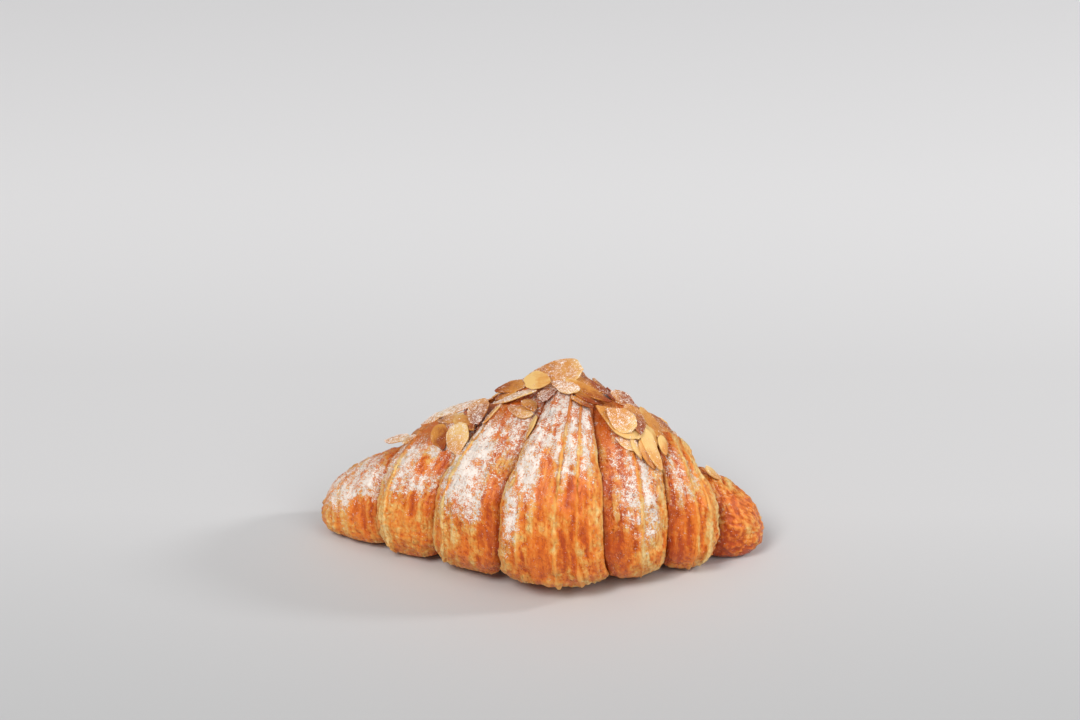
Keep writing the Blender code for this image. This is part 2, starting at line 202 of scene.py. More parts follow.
table_mesh = bpy.data.meshes.new("table")
corners = [(-TABLE_REACH, -TABLE_REACH, 0), (TABLE_REACH, -TABLE_REACH, 0)]
corners += [(TABLE_REACH, TABLE_REACH, 0), (-TABLE_REACH, TABLE_REACH, 0)]
table_mesh.from_pydata(corners, [], [(0, 1, 2, 3)])
table = bpy.data.objects.new("table", table_mesh)
bpy.context.scene.collection.objects.link(table)
table_material, tree, shader = new_material("pale table")
table_axes = add_node(tree, "ShaderNodeSeparateXYZ", ((0, object_place(tree)),)).outputs
table_depth = math_node(tree, "MULTIPLY_ADD", table_axes["X"], TABLE_SLANT, table_axes["Y"])
table_colour = colour_ramp(tree, ramp(tree, table_depth, *TABLE_DEPTHS), TABLE_PAINTED_SHADE_TONES)
finish = (("Roughness", TABLE_ROUGHNESS), ("Specular IOR Level", TABLE_SHINE))
fill(tree, shader, (("Base Color", table_colour), *finish))
table_mesh.materials.append(table_material)
print(f"a table of {2 * TABLE_REACH:.0f} m, in {len(TABLE_PAINTED_SHADE_TONES)} tones")

# %% [markdown]
# ## The light
#
# A photographer lights such a picture with a wide lamp high up at the front left and a wider and
# weaker one at the front right, which hardly cast a shadow. The faint shadow on the left, with its
# clearer edge, says that a third lamp, smaller and lower, stands at the right and a little behind.
# A dim world stands for the light that comes back from the walls. A picture of a real room as the
# world would be quicker, but with lamps each shadow can be set by hand.

# %% The light
SKY_COLOUR = linear(252, 252, 255)
SKY_STRENGTH = 0.34
Lamp = namedtuple("Lamp", "name place size power colour")
LAMPS = (
    Lamp("key_lamp", (-1.2, -3.0, 3.1), 1.9, 122.0, (1.0, 0.98, 0.95)),
    Lamp("side_lamp", (2.1, -2.3, 2.2), 2.4, 40.0, (1.0, 0.99, 0.97)),
    Lamp("right_lamp", (2.75, 0.5, 1.5), 0.5, 30.0, (1.0, 1.0, 1.0)),
)

sky = bpy.data.worlds.new("soft room")
sky.use_nodes = True
sky_inputs = (("Color", SKY_COLOUR), ("Strength", SKY_STRENGTH))
fill(sky.node_tree, sky.node_tree.nodes["Background"], sky_inputs)
bpy.context.scene.world = sky
bpy.context.scene.view_settings.view_transform = "Standard"

for lamp in LAMPS:
    light = bpy.data.lights.new(lamp.name, "AREA")
    light.shape = "DISK"
    light.size = lamp.size
    light.energy = lamp.power
    light.color = lamp.colour
    lamp_object = bpy.data.objects.new(lamp.name, light)
    lamp_object.location = lamp.place
    lamp_object.rotation_euler = (-Vector(lamp.place)).to_track_quat("-Z", "Y").to_euler()
    bpy.context.scene.collection.objects.link(lamp_object)
print(f"a dim room and {len(LAMPS)} lamps")

# %% [markdown]
# ## The spine and the cross-section
#
# A croissant is a triangle of dough, rolled up from its wide side and bent into a crescent. Its
# shape is easiest to describe as a line through the middle, the spine, with a cross-section at
# each place along it. One could sculpt it instead, but named sizes keep it the same as the solid
# underneath. From here on, sizes are in millimetres.

# %% The spine
ARM_LEFT = 89.5
ARM_RIGHT = 81.0
BOW_LEFT = 18.5
BOW_RIGHT = 17.0
SPINE_X = 4.0
SPINE_Y = 3.5
TIP_LIFT_LEFT = 1.5
TIP_LIFT_RIGHT = 0.5
LIFT_FROM = 48.0


def ease(share):
    """0 to 1 with a soft start and end."""
    share = np.clip(share, 0.0, 1.0)
    return share * share * (3.0 - 2.0 * share)


def spine(along):
    """Place and direction of the spine in the plan, this far from its middle."""
    left = along < 0
    bow = np.where(left, BOW_LEFT, BOW_RIGHT)
    arm = np.where(left, ARM_LEFT, ARM_RIGHT)
    slope = 2.0 * bow * along / arm**2
    length = np.hypot(1.0, slope)
    return SPINE_X + along, SPINE_Y + bow * (along / arm) ** 2, 1.0 / length, slope / length


def lift(along):
    """How far the underside stands off the table."""
    rise = np.where(along < 0, TIP_LIFT_LEFT, TIP_LIFT_RIGHT)
    arm = np.where(along < 0, ARM_LEFT, ARM_RIGHT)
    return rise * ease((np.abs(along) - LIFT_FROM) / (arm - LIFT_FROM))


print(f"the spine is {ARM_LEFT + ARM_RIGHT:.0f} mm from tip to tip")

# %% [markdown]
# Cut across, a croissant is a tall arch over a narrower foot, and it bulges more at the front
# than at the back. A stretched circle would be too plain for that. So the sine and cosine of the
# angle around are bent by powers, one for the sides and one for the foot.

# %% The cross-section
BACK_SHARE = 0.86
BELLY_SHARE = 0.38
SIDE_POWER = 0.95
BASE_POWER = 0.62


def outline(turn, height, half_depth, swell, roundness):
    """The cross-section at each angle from the crest: (towards the front, up)."""
    up = np.cos(turn)
    out = np.sin(turn)
    belly = BELLY_SHARE * height
    bulge = np.where(out < 0, half_depth * BACK_SHARE, half_depth)
    forward = np.sign(out) * np.abs(out) ** SIDE_POWER * (bulge * roundness + swell)
    dome = belly + up * ((height - belly) * roundness + swell)
    floor = belly - np.abs(up) ** BASE_POWER * (belly * roundness + swell)
    return forward, np.where(up >= 0, dome, np.maximum(floor, 0.0))


print(f"the belly is at {BELLY_SHARE:.0%} of the height")

# %% [markdown]
# ## The wraps and their lips
#
# The rolled-up dough shows as seven wraps. The edge of each wrap, but for the two at the tips, is a
# lip that lies over the next wrap towards the tip, and a sharp crease runs beside it. A lip is
# given by where it crosses the base, the side and the crest. Where single sheets of the dough
# end, a thin ledge runs parallel to it. These lines could be drawn as curves, but three numbers
# for each are easier to match to the picture.

# %% The lips
Lip = namedtuple("Lip", "base side crest height half_depth step ledges")
LIPS_LEFT = (
    Lip(-12.0, -11.5, 1.5, 69.0, 44.5, 2.6, ()),
    Lip(-37.0, -35.5, -18.0, 62.5, 30.0, 2.2, (3.4,)),
    Lip(-57.0, -59.5, -57.0, 40.5, 23.0, 2.0, (4.0,)),
)
LIPS_RIGHT = (
    Lip(22.5, 20.0, 16.5, 66.5, 44.5, 2.2, (7.5, 14.0)),
    Lip(41.0, 41.5, 37.0, 56.5, 30.5, 2.2, (8.5,)),
    Lip(57.5, 60.5, 54.0, 42.5, 23.5, 8.0, (3.4, 8.0)),
)
SIDE_TURN = math.radians(80)
BASE_TURN = math.radians(130)
Edge = namedtuple("Edge", "lip height half_depth kind")


def lip_line(lip, turn):
    """Where a lip runs along the spine, at each angle from the crest."""
    down = np.abs(turn)
    to_side = ease(down / SIDE_TURN)
    to_base = ease((down - SIDE_TURN) / (BASE_TURN - SIDE_TURN))
    return lip.crest + (lip.side - lip.crest) * to_side + (lip.base - lip.side) * to_base


def edge_over(lip):
    """The lip itself, as the outer edge of its own wrap."""
    return Edge(lip, lip.height, lip.half_depth, "lip")


def edge_under(lip):
    """The crease where the next wrap comes out from under a lip."""
    return Edge(lip, lip.height - lip.step, lip.half_depth - lip.step, "crease")


print(f"{len(LIPS_LEFT)} lips on the left and {len(LIPS_RIGHT)} on the right")

# %% [markdown]
# Each wrap is kept as its two edges, and each edge knows its line, its size and its kind: a lip
# that lies on top, a crease that comes out from under one, or the end of a tip. The wraps run
# from left to right, and the middle one is the only one with two lips.

# %% The seven wraps
CENTRE_HEIGHT = 69.5
CENTRE_HALF_DEPTH = 48.0
TIP_LEFT_HEIGHT = 15.5
TIP_LEFT_HALF_DEPTH = 12.0
TIP_RIGHT_HEIGHT = 19.5
TIP_RIGHT_HALF_DEPTH = 13.0


def edge_at_end(arm, height, half_depth):
    """The end of a tip."""
    return Edge(Lip(arm, arm, arm, height, half_depth, 0.0, ()), height, half_depth, "end")


WRAPS = (
    (edge_at_end(-ARM_LEFT, TIP_LEFT_HEIGHT, TIP_LEFT_HALF_DEPTH), edge_under(LIPS_LEFT[2])),
    (edge_over(LIPS_LEFT[2]), edge_under(LIPS_LEFT[1])),
    (edge_over(LIPS_LEFT[1]), edge_under(LIPS_LEFT[0])),
    (edge_over(LIPS_LEFT[0]), edge_over(LIPS_RIGHT[0])),
    (edge_under(LIPS_RIGHT[0]), edge_over(LIPS_RIGHT[1])),
    (edge_under(LIPS_RIGHT[1]), edge_over(LIPS_RIGHT[2])),
    (edge_under(LIPS_RIGHT[2]), edge_at_end(ARM_RIGHT, TIP_RIGHT_HEIGHT, TIP_RIGHT_HALF_DEPTH)),
)


def width_of(wrap):
    """A wrap's width halfway up the side."""
    return wrap[1].lip.side - wrap[0].lip.side


print("wrap widths in mm:", [width_of(wrap) for wrap in WRAPS])

# %% [markdown]
# ## How a wrap swells
#
# Dough rises most in the middle of a wrap and is pinched where the next wrap holds it down. The
# piped almond cream has baked into a low, lumpy bed along the crest. All of this is worked out
# as one number, how far the surface stands out, and added to the cross-section.

# %% Swelling and cream
UNDERCUT = 0.5
BULGE = 2.1
BULGE_POWER = 0.8
GROOVE = 1.9
GROOVE_REACH = 2.6
LIP_ROUND = 1.3
LIP_REACH = 2.2
LEDGE_HEIGHT = 0.7
LEDGE_REACH = 0.5
TIP_ROUNDING = 9.0
TIP_POWER = 2.4
CREAM_THICKNESS = 1.6
CREAM_FROM = -64.0
CREAM_TO = 50.0
CREAM_FADE = 12.0
CREAM_TURN = math.radians(26)
CREAM_TURN_FADE = math.radians(14)
CREAM_LUMP = 4.3
CREAM_LUMPS_AROUND = 5.0
CREAM_HOLLOW = 0.25


def cream_share(along, turn):
    """1 on the bed of cream, 0 away from it."""
    ends = ease((along - CREAM_FROM) / CREAM_FADE) * ease((CREAM_TO - along) / CREAM_FADE)
    return ends * (1.0 - ease((np.abs(turn) - CREAM_TURN) / CREAM_TURN_FADE))


def cream_rise(along, turn):
    """Thickness of the baked cream."""
    wave = np.sin(along / CREAM_LUMP) * np.cos(turn * CREAM_LUMPS_AROUND + along / CREAM_LUMP / 2)
    return CREAM_THICKNESS * cream_share(along, turn) * (1.0 - CREAM_HOLLOW * (1.0 - wave))


def relief(wrap, share):
    """How far the surface stands out at this share of a wrap's width, and how round its end is."""
    width = width_of(wrap)
    swell = BULGE * math.sin(math.pi * share) ** BULGE_POWER
    roundness = 1.0
    for edge, distance in zip(wrap, (share * width, (1.0 - share) * width)):
        if edge.kind == "crease":
            swell -= GROOVE * math.exp(-distance / GROOVE_REACH)
        if edge.kind == "lip":
            swell -= LIP_ROUND * max(0.0, 1.0 - distance / LIP_REACH) ** 2
            for set_back in edge.lip.ledges:
                swell += LEDGE_HEIGHT * math.exp(-(((distance - set_back) / LEDGE_REACH) ** 2))
        if edge.kind == "end" and distance < TIP_ROUNDING:
            inset = 1.0 - distance / TIP_ROUNDING
            roundness = max(0.0, 1.0 - inset**TIP_POWER) ** (1.0 / TIP_POWER)
    return swell * roundness, roundness


print(f"a wrap swells by up to {BULGE} mm")

# %% [markdown]
# Spine, cross-section, lips and swelling now come together. One function gives a whole ring of
# points at some share of a wrap's width. Another finds a single point, which is how an almond or
# a sugar patch is told where it lies.


# %% A point of the crust
def edge_lines(wrap, turn):
    """Where a wrap's two edges run. A crease starts a little way in under the lip."""
    lines = [lip_line(edge.lip, turn) for edge in wrap]
    for side, edge in enumerate(wrap):
        if edge.kind == "crease":
            lines[side] = lines[side] - math.copysign(UNDERCUT, edge.lip.base)
    return lines


def surface(wrap, share, turn):
    """Points at one share of a wrap's width, as rows of x, y, z, and their place along the spine."""
    first, last = wrap
    start, stop = edge_lines(wrap, turn)
    along = start + (stop - start) * share
    height = first.height + (last.height - first.height) * share
    half_depth = first.half_depth + (last.half_depth - first.half_depth) * share
    if first.kind == last.kind == "lip":
        hump = 1.0 - (2.0 * share - 1.0) ** 2
        height += (CENTRE_HEIGHT - (first.height + last.height) / 2) * hump
        half_depth += (CENTRE_HALF_DEPTH - (first.half_depth + last.half_depth) / 2) * hump
    swell, roundness = relief(wrap, share)
    x, y, run_x, run_y = spine(along)
    forward, up = outline(turn, height, half_depth, swell + cream_rise(along, turn), roundness)
    return np.stack([x + forward * run_y, y - forward * run_x, up + lift(along)], axis=-1), along


def on_crust(along, turn):
    """The point of the crust at a place along the spine and an angle from the crest."""
    turn = np.array([turn])
    for wrap in WRAPS:
        start, stop = edge_lines(wrap, turn)
        share = (along - start[0]) / (stop[0] - start[0])
        if share <= 1.0:
            return Vector(surface(wrap, max(share, 0.0), turn)[0][0])
    return Vector(surface(WRAPS[-1], 1.0, turn)[0][0])


print("the crest is", round(on_crust(0.0, 0.0).z, 1), "mm high")

# %% [markdown]
# ## A fine net over the croissant
#
# The solid has a point every few millimetres. To carry flakes, blisters and wrinkles as real
# shape, the crust needs one about every half millimetre. The net is a stack of rings along the
# spine, closer together beside the lips. It is kept as arrays of numbers for now, because moving
# a hundred thousand points at once is quick with numpy and slow one by one. Each ring also
# remembers its wrap and how far it is from the wrap's two edges.

# %% Points around a ring
AROUND = 256
UNDERSIDE_TURN = 2.3
UNDERSIDE_WEIGHT = 0.45  # the hidden underside needs fewer points
MIDDLING_HEIGHT = 55.0
MIDDLING_HALF_DEPTH = 33.0
FINE_TURNS = 2881


def fine_turns():
    """Angles that space the points of a middling cross-section evenly, round from the underside."""
    fine = np.linspace(-math.pi, math.pi, FINE_TURNS)
    forward, up = outline(fine, MIDDLING_HEIGHT, MIDDLING_HALF_DEPTH, 0.0, 1.0)
    steps = np.hypot(np.diff(forward), np.diff(up))
    steps *= np.where(np.abs(fine[1:]) > UNDERSIDE_TURN, UNDERSIDE_WEIGHT, 1.0)
    path = np.concatenate([[0.0], np.cumsum(steps)])
    return np.interp(np.linspace(0.0, path[-1], AROUND, endpoint=False), path, fine)


TURN = fine_turns()
CREST = int(np.argmin(np.abs(TURN)))
print(f"{AROUND} points around, and number {CREST} is on the crest")

# %% Rings along the spine
RING_GAP = 0.5
RING_CROWDING = 0.3  # how much closer the rings are beside a lip, as a share
LEDGE_RINGS = np.linspace(-0.8, 0.8, 8)  # more rings across each ledge, in mm from it
LEDGE_CLEAR = 0.2
CAP_RINGS = 16
Ring = namedtuple("Ring", "points along wrap from_left from_right roll")


def fine_shares(wrap):
    """Where a wrap has rings, as shares of its width."""
    width = width_of(wrap)
    even = np.linspace(0.0, 1.0, round(width / RING_GAP))
    shares = even - RING_CROWDING * np.sin(2.0 * math.pi * even) / (2.0 * math.pi)
    for side, edge in enumerate(wrap):
        for set_back in edge.lip.ledges if edge.kind == "lip" else ():
            close = (set_back + LEDGE_RINGS) / width
            close = 1.0 - close[::-1] if side else close
            before = shares < close[0] - LEDGE_CLEAR / width
            after = shares > close[-1] + LEDGE_CLEAR / width
            shares = np.sort(np.concatenate([shares[before | after], close]))
    angles = np.arange(1, CAP_RINGS + 1) * (math.pi / 2 / CAP_RINGS)
    cap = (1.0 - np.cos(angles) ** (2.0 / TIP_POWER)) * TIP_ROUNDING / width
    if wrap[0].kind == "end":
        shares = np.concatenate([cap, shares[shares > cap[-1]]])
    if wrap[1].kind == "end":
        shares = np.concatenate([shares[shares < 1.0 - cap[-1]], 1.0 - cap[::-1]])
    return shares


rings = []
for number, wrap in enumerate(WRAPS):
    width = width_of(wrap)
    for share in fine_shares(wrap):
        points, along = surface(wrap, share, TURN)
        rings.append(Ring(points, along, number, share * width, (1.0 - share) * width, 0.0))
print(f"{len(rings)} rings of {AROUND} points")

# %% [markdown]
# A lip has thickness. Between the last ring of one wrap and the first ring of the next there is
# a step, and a few extra rings across it are pushed out a little. They turn the step into a
# rolled edge with a gap under it, which the colour later darkens with painted shade.

# %% Rolled lips
LIP_RINGS = 4
LIP_BULGE = 0.45  # how far the thick edge of a lip rolls out over the crease


def rolled_lip(over, under):
    """Rings between a lip and the crease beside it. Over is the lip's ring, whichever comes first."""
    run = np.stack([*spine(over.along)[2:], np.zeros(AROUND)], axis=-1)
    added = []
    for k in range(1, LIP_RINGS + 1):
        share = k / (LIP_RINGS + 1)
        points = over.points + (under.points - over.points) * share
        along = over.along + (under.along - over.along) * share
        bulge = LIP_BULGE * math.sin(math.pi * share) * math.copysign(1.0, over.along[CREST])
        added.append(over._replace(points=points + run * bulge, along=along, roll=share))
    return added


def on_each_point(field):
    """A number that each ring has, spread over the ring's points."""
    return np.repeat([[getattr(ring, field)] for ring in whole], AROUND, axis=1)


whole = []
for ring, following in zip(rings, rings[1:] + [None]):
    whole.append(ring)
    if following is not None and following.wrap != ring.wrap:
        if WRAPS[ring.wrap][1].kind == "lip":
            whole += rolled_lip(ring, following)
        else:
            whole += rolled_lip(following, ring)[::-1]
POINT = np.array([ring.points for ring in whole])
ALONG = np.array([ring.along for ring in whole])
WRAP = on_each_point("wrap")
FROM_LEFT = on_each_point("from_left")
FROM_RIGHT = on_each_point("from_right")
ROLL = on_each_point("roll")
TURNS = np.repeat(TURN[None, :], len(whole), axis=0)
print(f"{POINT.shape[0]} rings with the rolled lips, {POINT.shape[0] * AROUND} points")

# %% [markdown]
# Detail on pastry doesn't run in straight world directions: it follows the dough around. So each
# point also gets a dough address: how far it is from its wrap's left edge, and how far around from
# the crest, in millimetres. Noise that is read at that address, stretched, gives streaks that run
# down beside the lips.

# %% Dough addresses and noise
WRAP_APART = 31.0  # the third part of an address, which gives each wrap noise of its own


def outward(points):
    """The way out of the surface at each point of the net."""
    down_spine = np.gradient(points, axis=0)
    around = np.roll(points, -1, axis=1) - np.roll(points, 1, axis=1)
    out = np.cross(down_spine, around)
    out /= np.maximum(np.linalg.norm(out, axis=-1, keepdims=True), 1e-9)
    return out * np.sign(np.mean(out[:, CREST, 2]))


def noise_at(places, size, shift=0.0):
    """Soft noise between about -1 and 1, with lumps of this size (one number or three)."""
    rows = (places / np.array(size) + shift).reshape(-1, 3).tolist()
    return np.array([noise.noise(row) for row in rows]).reshape(places.shape[:-1])


def cells_at(places, size):
    """How far each place is from the nearest of many scattered points, as a share of size."""
    rows = (places / size).reshape(-1, 3).tolist()
    return np.array([noise.voronoi(row)[0][0] for row in rows]).reshape(places.shape[:-1])


steps = np.linalg.norm(np.diff(POINT, axis=1), axis=-1)
ARC = np.concatenate([np.zeros((len(whole), 1)), np.cumsum(steps, axis=1)], axis=1)
ARC -= ARC[:, CREST : CREST + 1]
ADDRESS = np.stack([FROM_LEFT, ARC, WRAP * WRAP_APART], axis=-1)
OUT = outward(POINT)
print(f"the widest ring is {np.max(ARC) - np.min(ARC):.0f} mm around")

# %% [markdown]
# ## Slow dents
#
# Baked dough is never even. The solid already has slow dents of just under a millimetre, made
# by noise, and the same noise is used here, so that the crust has them in the same places. The
# croissant baked on a tray, so it rests on a flat spot, and its underside rises gently from there.

# %% Dents
DENT = 0.9
DENT_SIZE = 14.0
REST_CORNERS = ((12.0, -18.0), (50.0, 21.0), (-43.0, 12.0))  # the flat spot, in the plan
REST_SLOPE = 0.1
REST_RISE = 0.8


def rest_gap(x, y):
    """How far the underside stands off the table at a place in the plan."""
    beyond = 0.0
    for (x1, y1), (x2, y2) in zip(REST_CORNERS, REST_CORNERS[1:] + REST_CORNERS[:1]):
        across = (x - x1) * (y2 - y1) - (y - y1) * (x2 - x1)
        beyond = np.maximum(beyond, across / math.hypot(x2 - x1, y2 - y1))
    return np.minimum(REST_SLOPE * beyond, REST_RISE)


def push_out(amount):
    """Moves the net along its normals, but never below the flat spot and its gentle rise."""
    global POINT, OUT
    POINT = POINT + OUT * amount[..., None]
    POINT[..., 2] = np.maximum(POINT[..., 2], rest_gap(POINT[..., 0], POINT[..., 1]))
    OUT = outward(POINT)


push_out(noise_at(POINT, DENT_SIZE) * DENT * ease(POINT[..., 2] / DENT_SIZE))
print("dented; the box is now", np.round(POINT.min((0, 1)), 1), np.round(POINT.max((0, 1)), 1))
SMOOTH = POINT.copy()

# %% [markdown]
# ## The flaky skin
#
# Seen close, the crust has six kinds of detail. Thin sheets end along the lips as pale raised
# lines. The dough is streaked around the roll, where it was stretched. Blisters a few
# millimetres wide rose in the heat, mostly low down and at the right tip. In some spots the egg
# glaze ran together and left the dough smooth and orange, and those are listed. The
# outermost leaf has cracked and peeled off in patches. Last comes a fine crackle. Each kind is a
# layer of height in millimetres, and the layers are added up, over lumps that are a little wider.
# One could sculpt all this, but layers of noise cover the whole crust and can be tuned one by one.

# %% Sheets along the lips
SHEET_HEIGHT = 0.4
SHEET_EDGE = 0.4  # how abruptly a sheet ends
SHEET_LINE = 0.28  # half the width of its pale edge
SHEET_FADE = 2.2  # how far back its extra height reaches
SHEET_WOBBLE = 0.55
SHEET_WAVES = (9.0, 1.0, 1.0)  # its edge wanders over this length around, in mm
SHEET_GAPS = (8.0, 1.0, 1.0)  # and it comes and goes over this length
LEDGE_STEADY = 0.7  # how seldom a sheet is missing, at a ledge and elsewhere
FREE_STEADY = 0.2
CLEAN_WIDTH = 0.8  # sugar slides off this far on each side of a standing edge
FREE_SHEETS = {  # set-backs of more sheets, which come and go, for each lip from left to right
    LIPS_LEFT[2]: (2.0, 5.8),
    LIPS_LEFT[1]: (1.6, 5.1, 6.9, 9.0),
    LIPS_LEFT[0]: (2.4, 5.5),
    LIPS_RIGHT[0]: (1.7, 3.6, 5.4, 9.8, 11.9, 16.4),
    LIPS_RIGHT[1]: (1.8, 4.2, 11.0),
    LIPS_RIGHT[2]: (1.6, 5.6),
}
LIP_SIDES = []  # each lip with the number of its wrap and the side that it is on
for number, wrap in enumerate(WRAPS):
    LIP_SIDES += [(number, side, edge.lip) for side, edge in enumerate(wrap) if edge.kind == "lip"]


def from_lip(number, side, elsewhere):
    """How far each point of a wrap is from its edge on one side, and a set number elsewhere."""
    return np.where(WRAP == number, (FROM_LEFT, FROM_RIGHT)[side], elsewhere)


def sheet(distance, set_back, seed, steady):
    """A thin sheet that ends at a set-back from a lip: its height and its edge, from 0 to 1."""
    rows = np.stack([ARC, np.full_like(ARC, seed), WRAP * 7.0], axis=-1)
    wander = noise_at(rows, SHEET_WAVES) * SHEET_WOBBLE
    present = ease((noise_at(rows, SHEET_GAPS, 3.3) + steady) * 2.0)
    inside = distance - set_back - wander
    top = ease(inside / SHEET_EDGE + 0.5) * np.exp(-np.maximum(inside, 0.0) / SHEET_FADE)
    return present * top, present * np.exp(-((inside / SHEET_LINE) ** 2))


SHEETS = np.zeros_like(ARC)
SHEET_EDGES = np.zeros_like(ARC)
CLEAN = np.zeros_like(ARC)
for number, side, lip in LIP_SIDES:
    distance = from_lip(number, side, -99.0)
    lines = [(set_back, LEDGE_STEADY) for set_back in lip.ledges]
    lines += [(set_back, FREE_STEADY) for set_back in FREE_SHEETS[lip]]
    for set_back, steady in lines:
        top, end = sheet(distance, set_back, 5.7 * number + 2.3 * side + 11 * set_back, steady)
        SHEETS += SHEET_HEIGHT * top
        SHEET_EDGES = np.maximum(SHEET_EDGES, end)
        if set_back in lip.ledges:
            CLEAN = np.maximum(CLEAN, np.exp(-(((distance - set_back) / CLEAN_WIDTH) ** 2)))
print(f"sheets stand up to {SHEETS.max():.2f} mm proud")

# %% [markdown]
# Next come the lumps and the fine crackle, because the other layers lean on them: together they
# bend the places where noise is read, so that nothing runs in straight lines.

# %% Lumps and crackle
LUMP_HEIGHT = 0.8
LUMP_SIZE = 6.0
CRACKLE_HEIGHT = 0.42
CRACKLE_SIZE = 1.0

LUMPS = noise_at(SMOOTH, LUMP_SIZE, 5.0)
CRACKLE = noise_at(SMOOTH, CRACKLE_SIZE, 2.0)
WOBBLE = np.stack([LUMPS, CRACKLE, np.zeros_like(LUMPS)], axis=-1)
print(f"lumps of {LUMP_SIZE} mm and crackle of {CRACKLE_SIZE} mm")

# %% [markdown]
# Rolling stretched the dough, so it is streaked around: wrinkles, and thin raised threads of dry
# dough between them. Both are noise that is read at the dough address, narrow beside the lip and
# long around. The threads are where such a noise crosses zero, which it does along thin lines.

# %% Wrinkles and threads
WRINKLE_HEIGHT = 0.9
WRINKLE_SIZE = (2.3, 12.0, 1.0)  # width beside the lip, length around, in mm
WRINKLE_WOBBLE = 0.7
THREAD_HEIGHT = 0.26
THREAD_SIZE = (1.5, 5.5, 1.0)
THREAD_WOBBLE = 0.9
THREAD_THINNESS = 7.0
THREAD_CLOUDS = 6.0  # they come in patches of about this many mm

WRINKLES = noise_at(ADDRESS + WRINKLE_WOBBLE * WOBBLE, WRINKLE_SIZE)
THREADS = noise_at(ADDRESS + THREAD_WOBBLE * WOBBLE, THREAD_SIZE, 17.0)
THREADS = np.maximum(1.0 - THREAD_THINNESS * np.abs(THREADS), 0.0)
THREADS *= ease(3.0 * noise_at(SMOOTH, THREAD_CLOUDS, 9.0) + 0.5)
print(f"wrinkles are {WRINKLE_SIZE[0]} mm wide and threads {THREAD_SIZE[0]} mm apart")

# %% [markdown]
# A blister is a small dome over trapped steam. Noise made of cells gives domes, because its
# height falls off with the distance from scattered points. They lie low down and all over the
# right tip, and there are only a few elsewhere.

# %% Blisters
BLISTER_HEIGHT = 0.6
BLISTER_SIZE = 2.1
BLISTER_LEVEL = 0.7
BLISTER_WOBBLE = 0.9
BLISTER_CLOUDS = 10.0
BLISTER_CLOUD_DEPTH = 1.8
BLISTERS_LOW = 0.9  # how much they show low down, and how much elsewhere
BLISTERS_HIGH = 0.12
LOW_TO = 10.0  # the crust counts as low down to this height, and fades out above
LOW_FADE = 16.0
TIP_FROM = 56.0  # the same for the right tip, along the spine
TIP_FADE = 4.0

LOW_DOWN = 1.0 - ease((SMOOTH[..., 2] - LOW_TO) / LOW_FADE)
RIGHT_TIP = ease((ALONG - TIP_FROM) / TIP_FADE)
BLISTERED = ease(0.4 + BLISTER_CLOUD_DEPTH * noise_at(SMOOTH, BLISTER_CLOUDS, 7.0))
BLISTERED = np.maximum(LOW_DOWN * BLISTERS_LOW, BLISTERS_HIGH) * BLISTERED + RIGHT_TIP
BLISTERED = np.clip(BLISTERED, 0.0, 1.0)
BLISTERS = BLISTER_LEVEL - cells_at(SMOOTH + BLISTER_WOBBLE * WOBBLE, BLISTER_SIZE)
print(f"blisters {BLISTER_SIZE} mm wide on {np.mean(BLISTERED > 0.5):.0%} of the crust")

# %% [markdown]
# Chance wouldn't put the smooth, glazed spots where the picture has them. So each is named by its
# place along the spine, its angle from the crest in degrees, and how far it reaches both ways.

# %% Glazed spots
Spot = namedtuple("Spot", "along turn wide around strength", defaults=(1.0,))
GLAZED_SPOTS = (
    Spot(-66, 78, 7, 16),
    Spot(-42, 48, 3, 8),
    Spot(-35, 50, 3, 9),
    Spot(-45, 76, 3, 9),
    Spot(-14, 78, 4, 13),
    Spot(-16, 100, 5, 18),
    Spot(3.0, 62, 2.6, 18),
    Spot(12, 80, 5, 26),
    Spot(0.5, 98, 5, 13),
    Spot(25, 98, 5, 18),
    Spot(45, 92, 5, 24),
    Spot(52, 86, 3, 30),
    Spot(66, 96, 6, 16),
)
GLAZE_EDGE = 0.5
GLAZE_WOBBLE = 0.4
GLAZE_WOBBLE_SIZE = 3.0
DOWN = np.degrees(TURNS)


def in_spot(spot, edge, wobble=0.0):
    """The spot's strength inside it, and 0 outside. Its edge is soft over this share of its size."""
    far = np.hypot((ALONG - spot.along) / spot.wide, (DOWN - spot.turn) / spot.around) + wobble
    return spot.strength * ease((1.0 + edge / 2 - far) / edge)


wobble = GLAZE_WOBBLE * noise_at(SMOOTH, GLAZE_WOBBLE_SIZE, 14.0)
GLAZED = np.zeros_like(ARC)
for spot in GLAZED_SPOTS:
    GLAZED = np.maximum(GLAZED, in_spot(spot, GLAZE_EDGE, wobble))
print(f"glaze lies smooth on {GLAZED.mean():.0%} of the crust")

# %% [markdown]
# The outermost leaf of dough is as thin as paper. Where a slow noise is above a set level the
# leaf is still whole, and elsewhere it has peeled off. Beside the lips the dough dried most, so
# it lasted there. A real flap for each piece would cost thousands of faces, so the leaf is only
# a step in the height, with a rim that curls up a little.

# %% The dry outer leaf
DRY_BANDS = {  # the width of dry dough beside each lip, and how dry it is
    LIPS_LEFT[2]: (5.8, 0.32),
    LIPS_LEFT[1]: (6.9, 0.35),
    LIPS_LEFT[0]: (2.4, 0.3),
    LIPS_RIGHT[0]: (14.0, 0.08),
    LIPS_RIGHT[1]: (8.5, 0.42),
    LIPS_RIGHT[2]: (8.0, 0.4),
}
DRY_WOBBLE = 0.5
DRY_WAVES = (9.0, 9.0, 1.0)
LEAF_SIZE = (3.4, 9.0, 1.0)
LEAF_WOBBLE = 0.5
LEAF_FRAY = 0.4
LEAF_FRAY_SIZE = 2.2
LEAF_CRACKLE = 0.2
LEAF_LOW_DOWN = 0.08
LEAF_LOST = 0.24  # how much of it has peeled off everywhere, and on the glazed spots as well
LEAF_LOST_GLAZED = 0.4
LEAF_EDGE = 0.2
LEAF_THICKNESS = 0.2
LEAF_CURL = 0.14
LEAF_CURL_WIDTH = 0.05

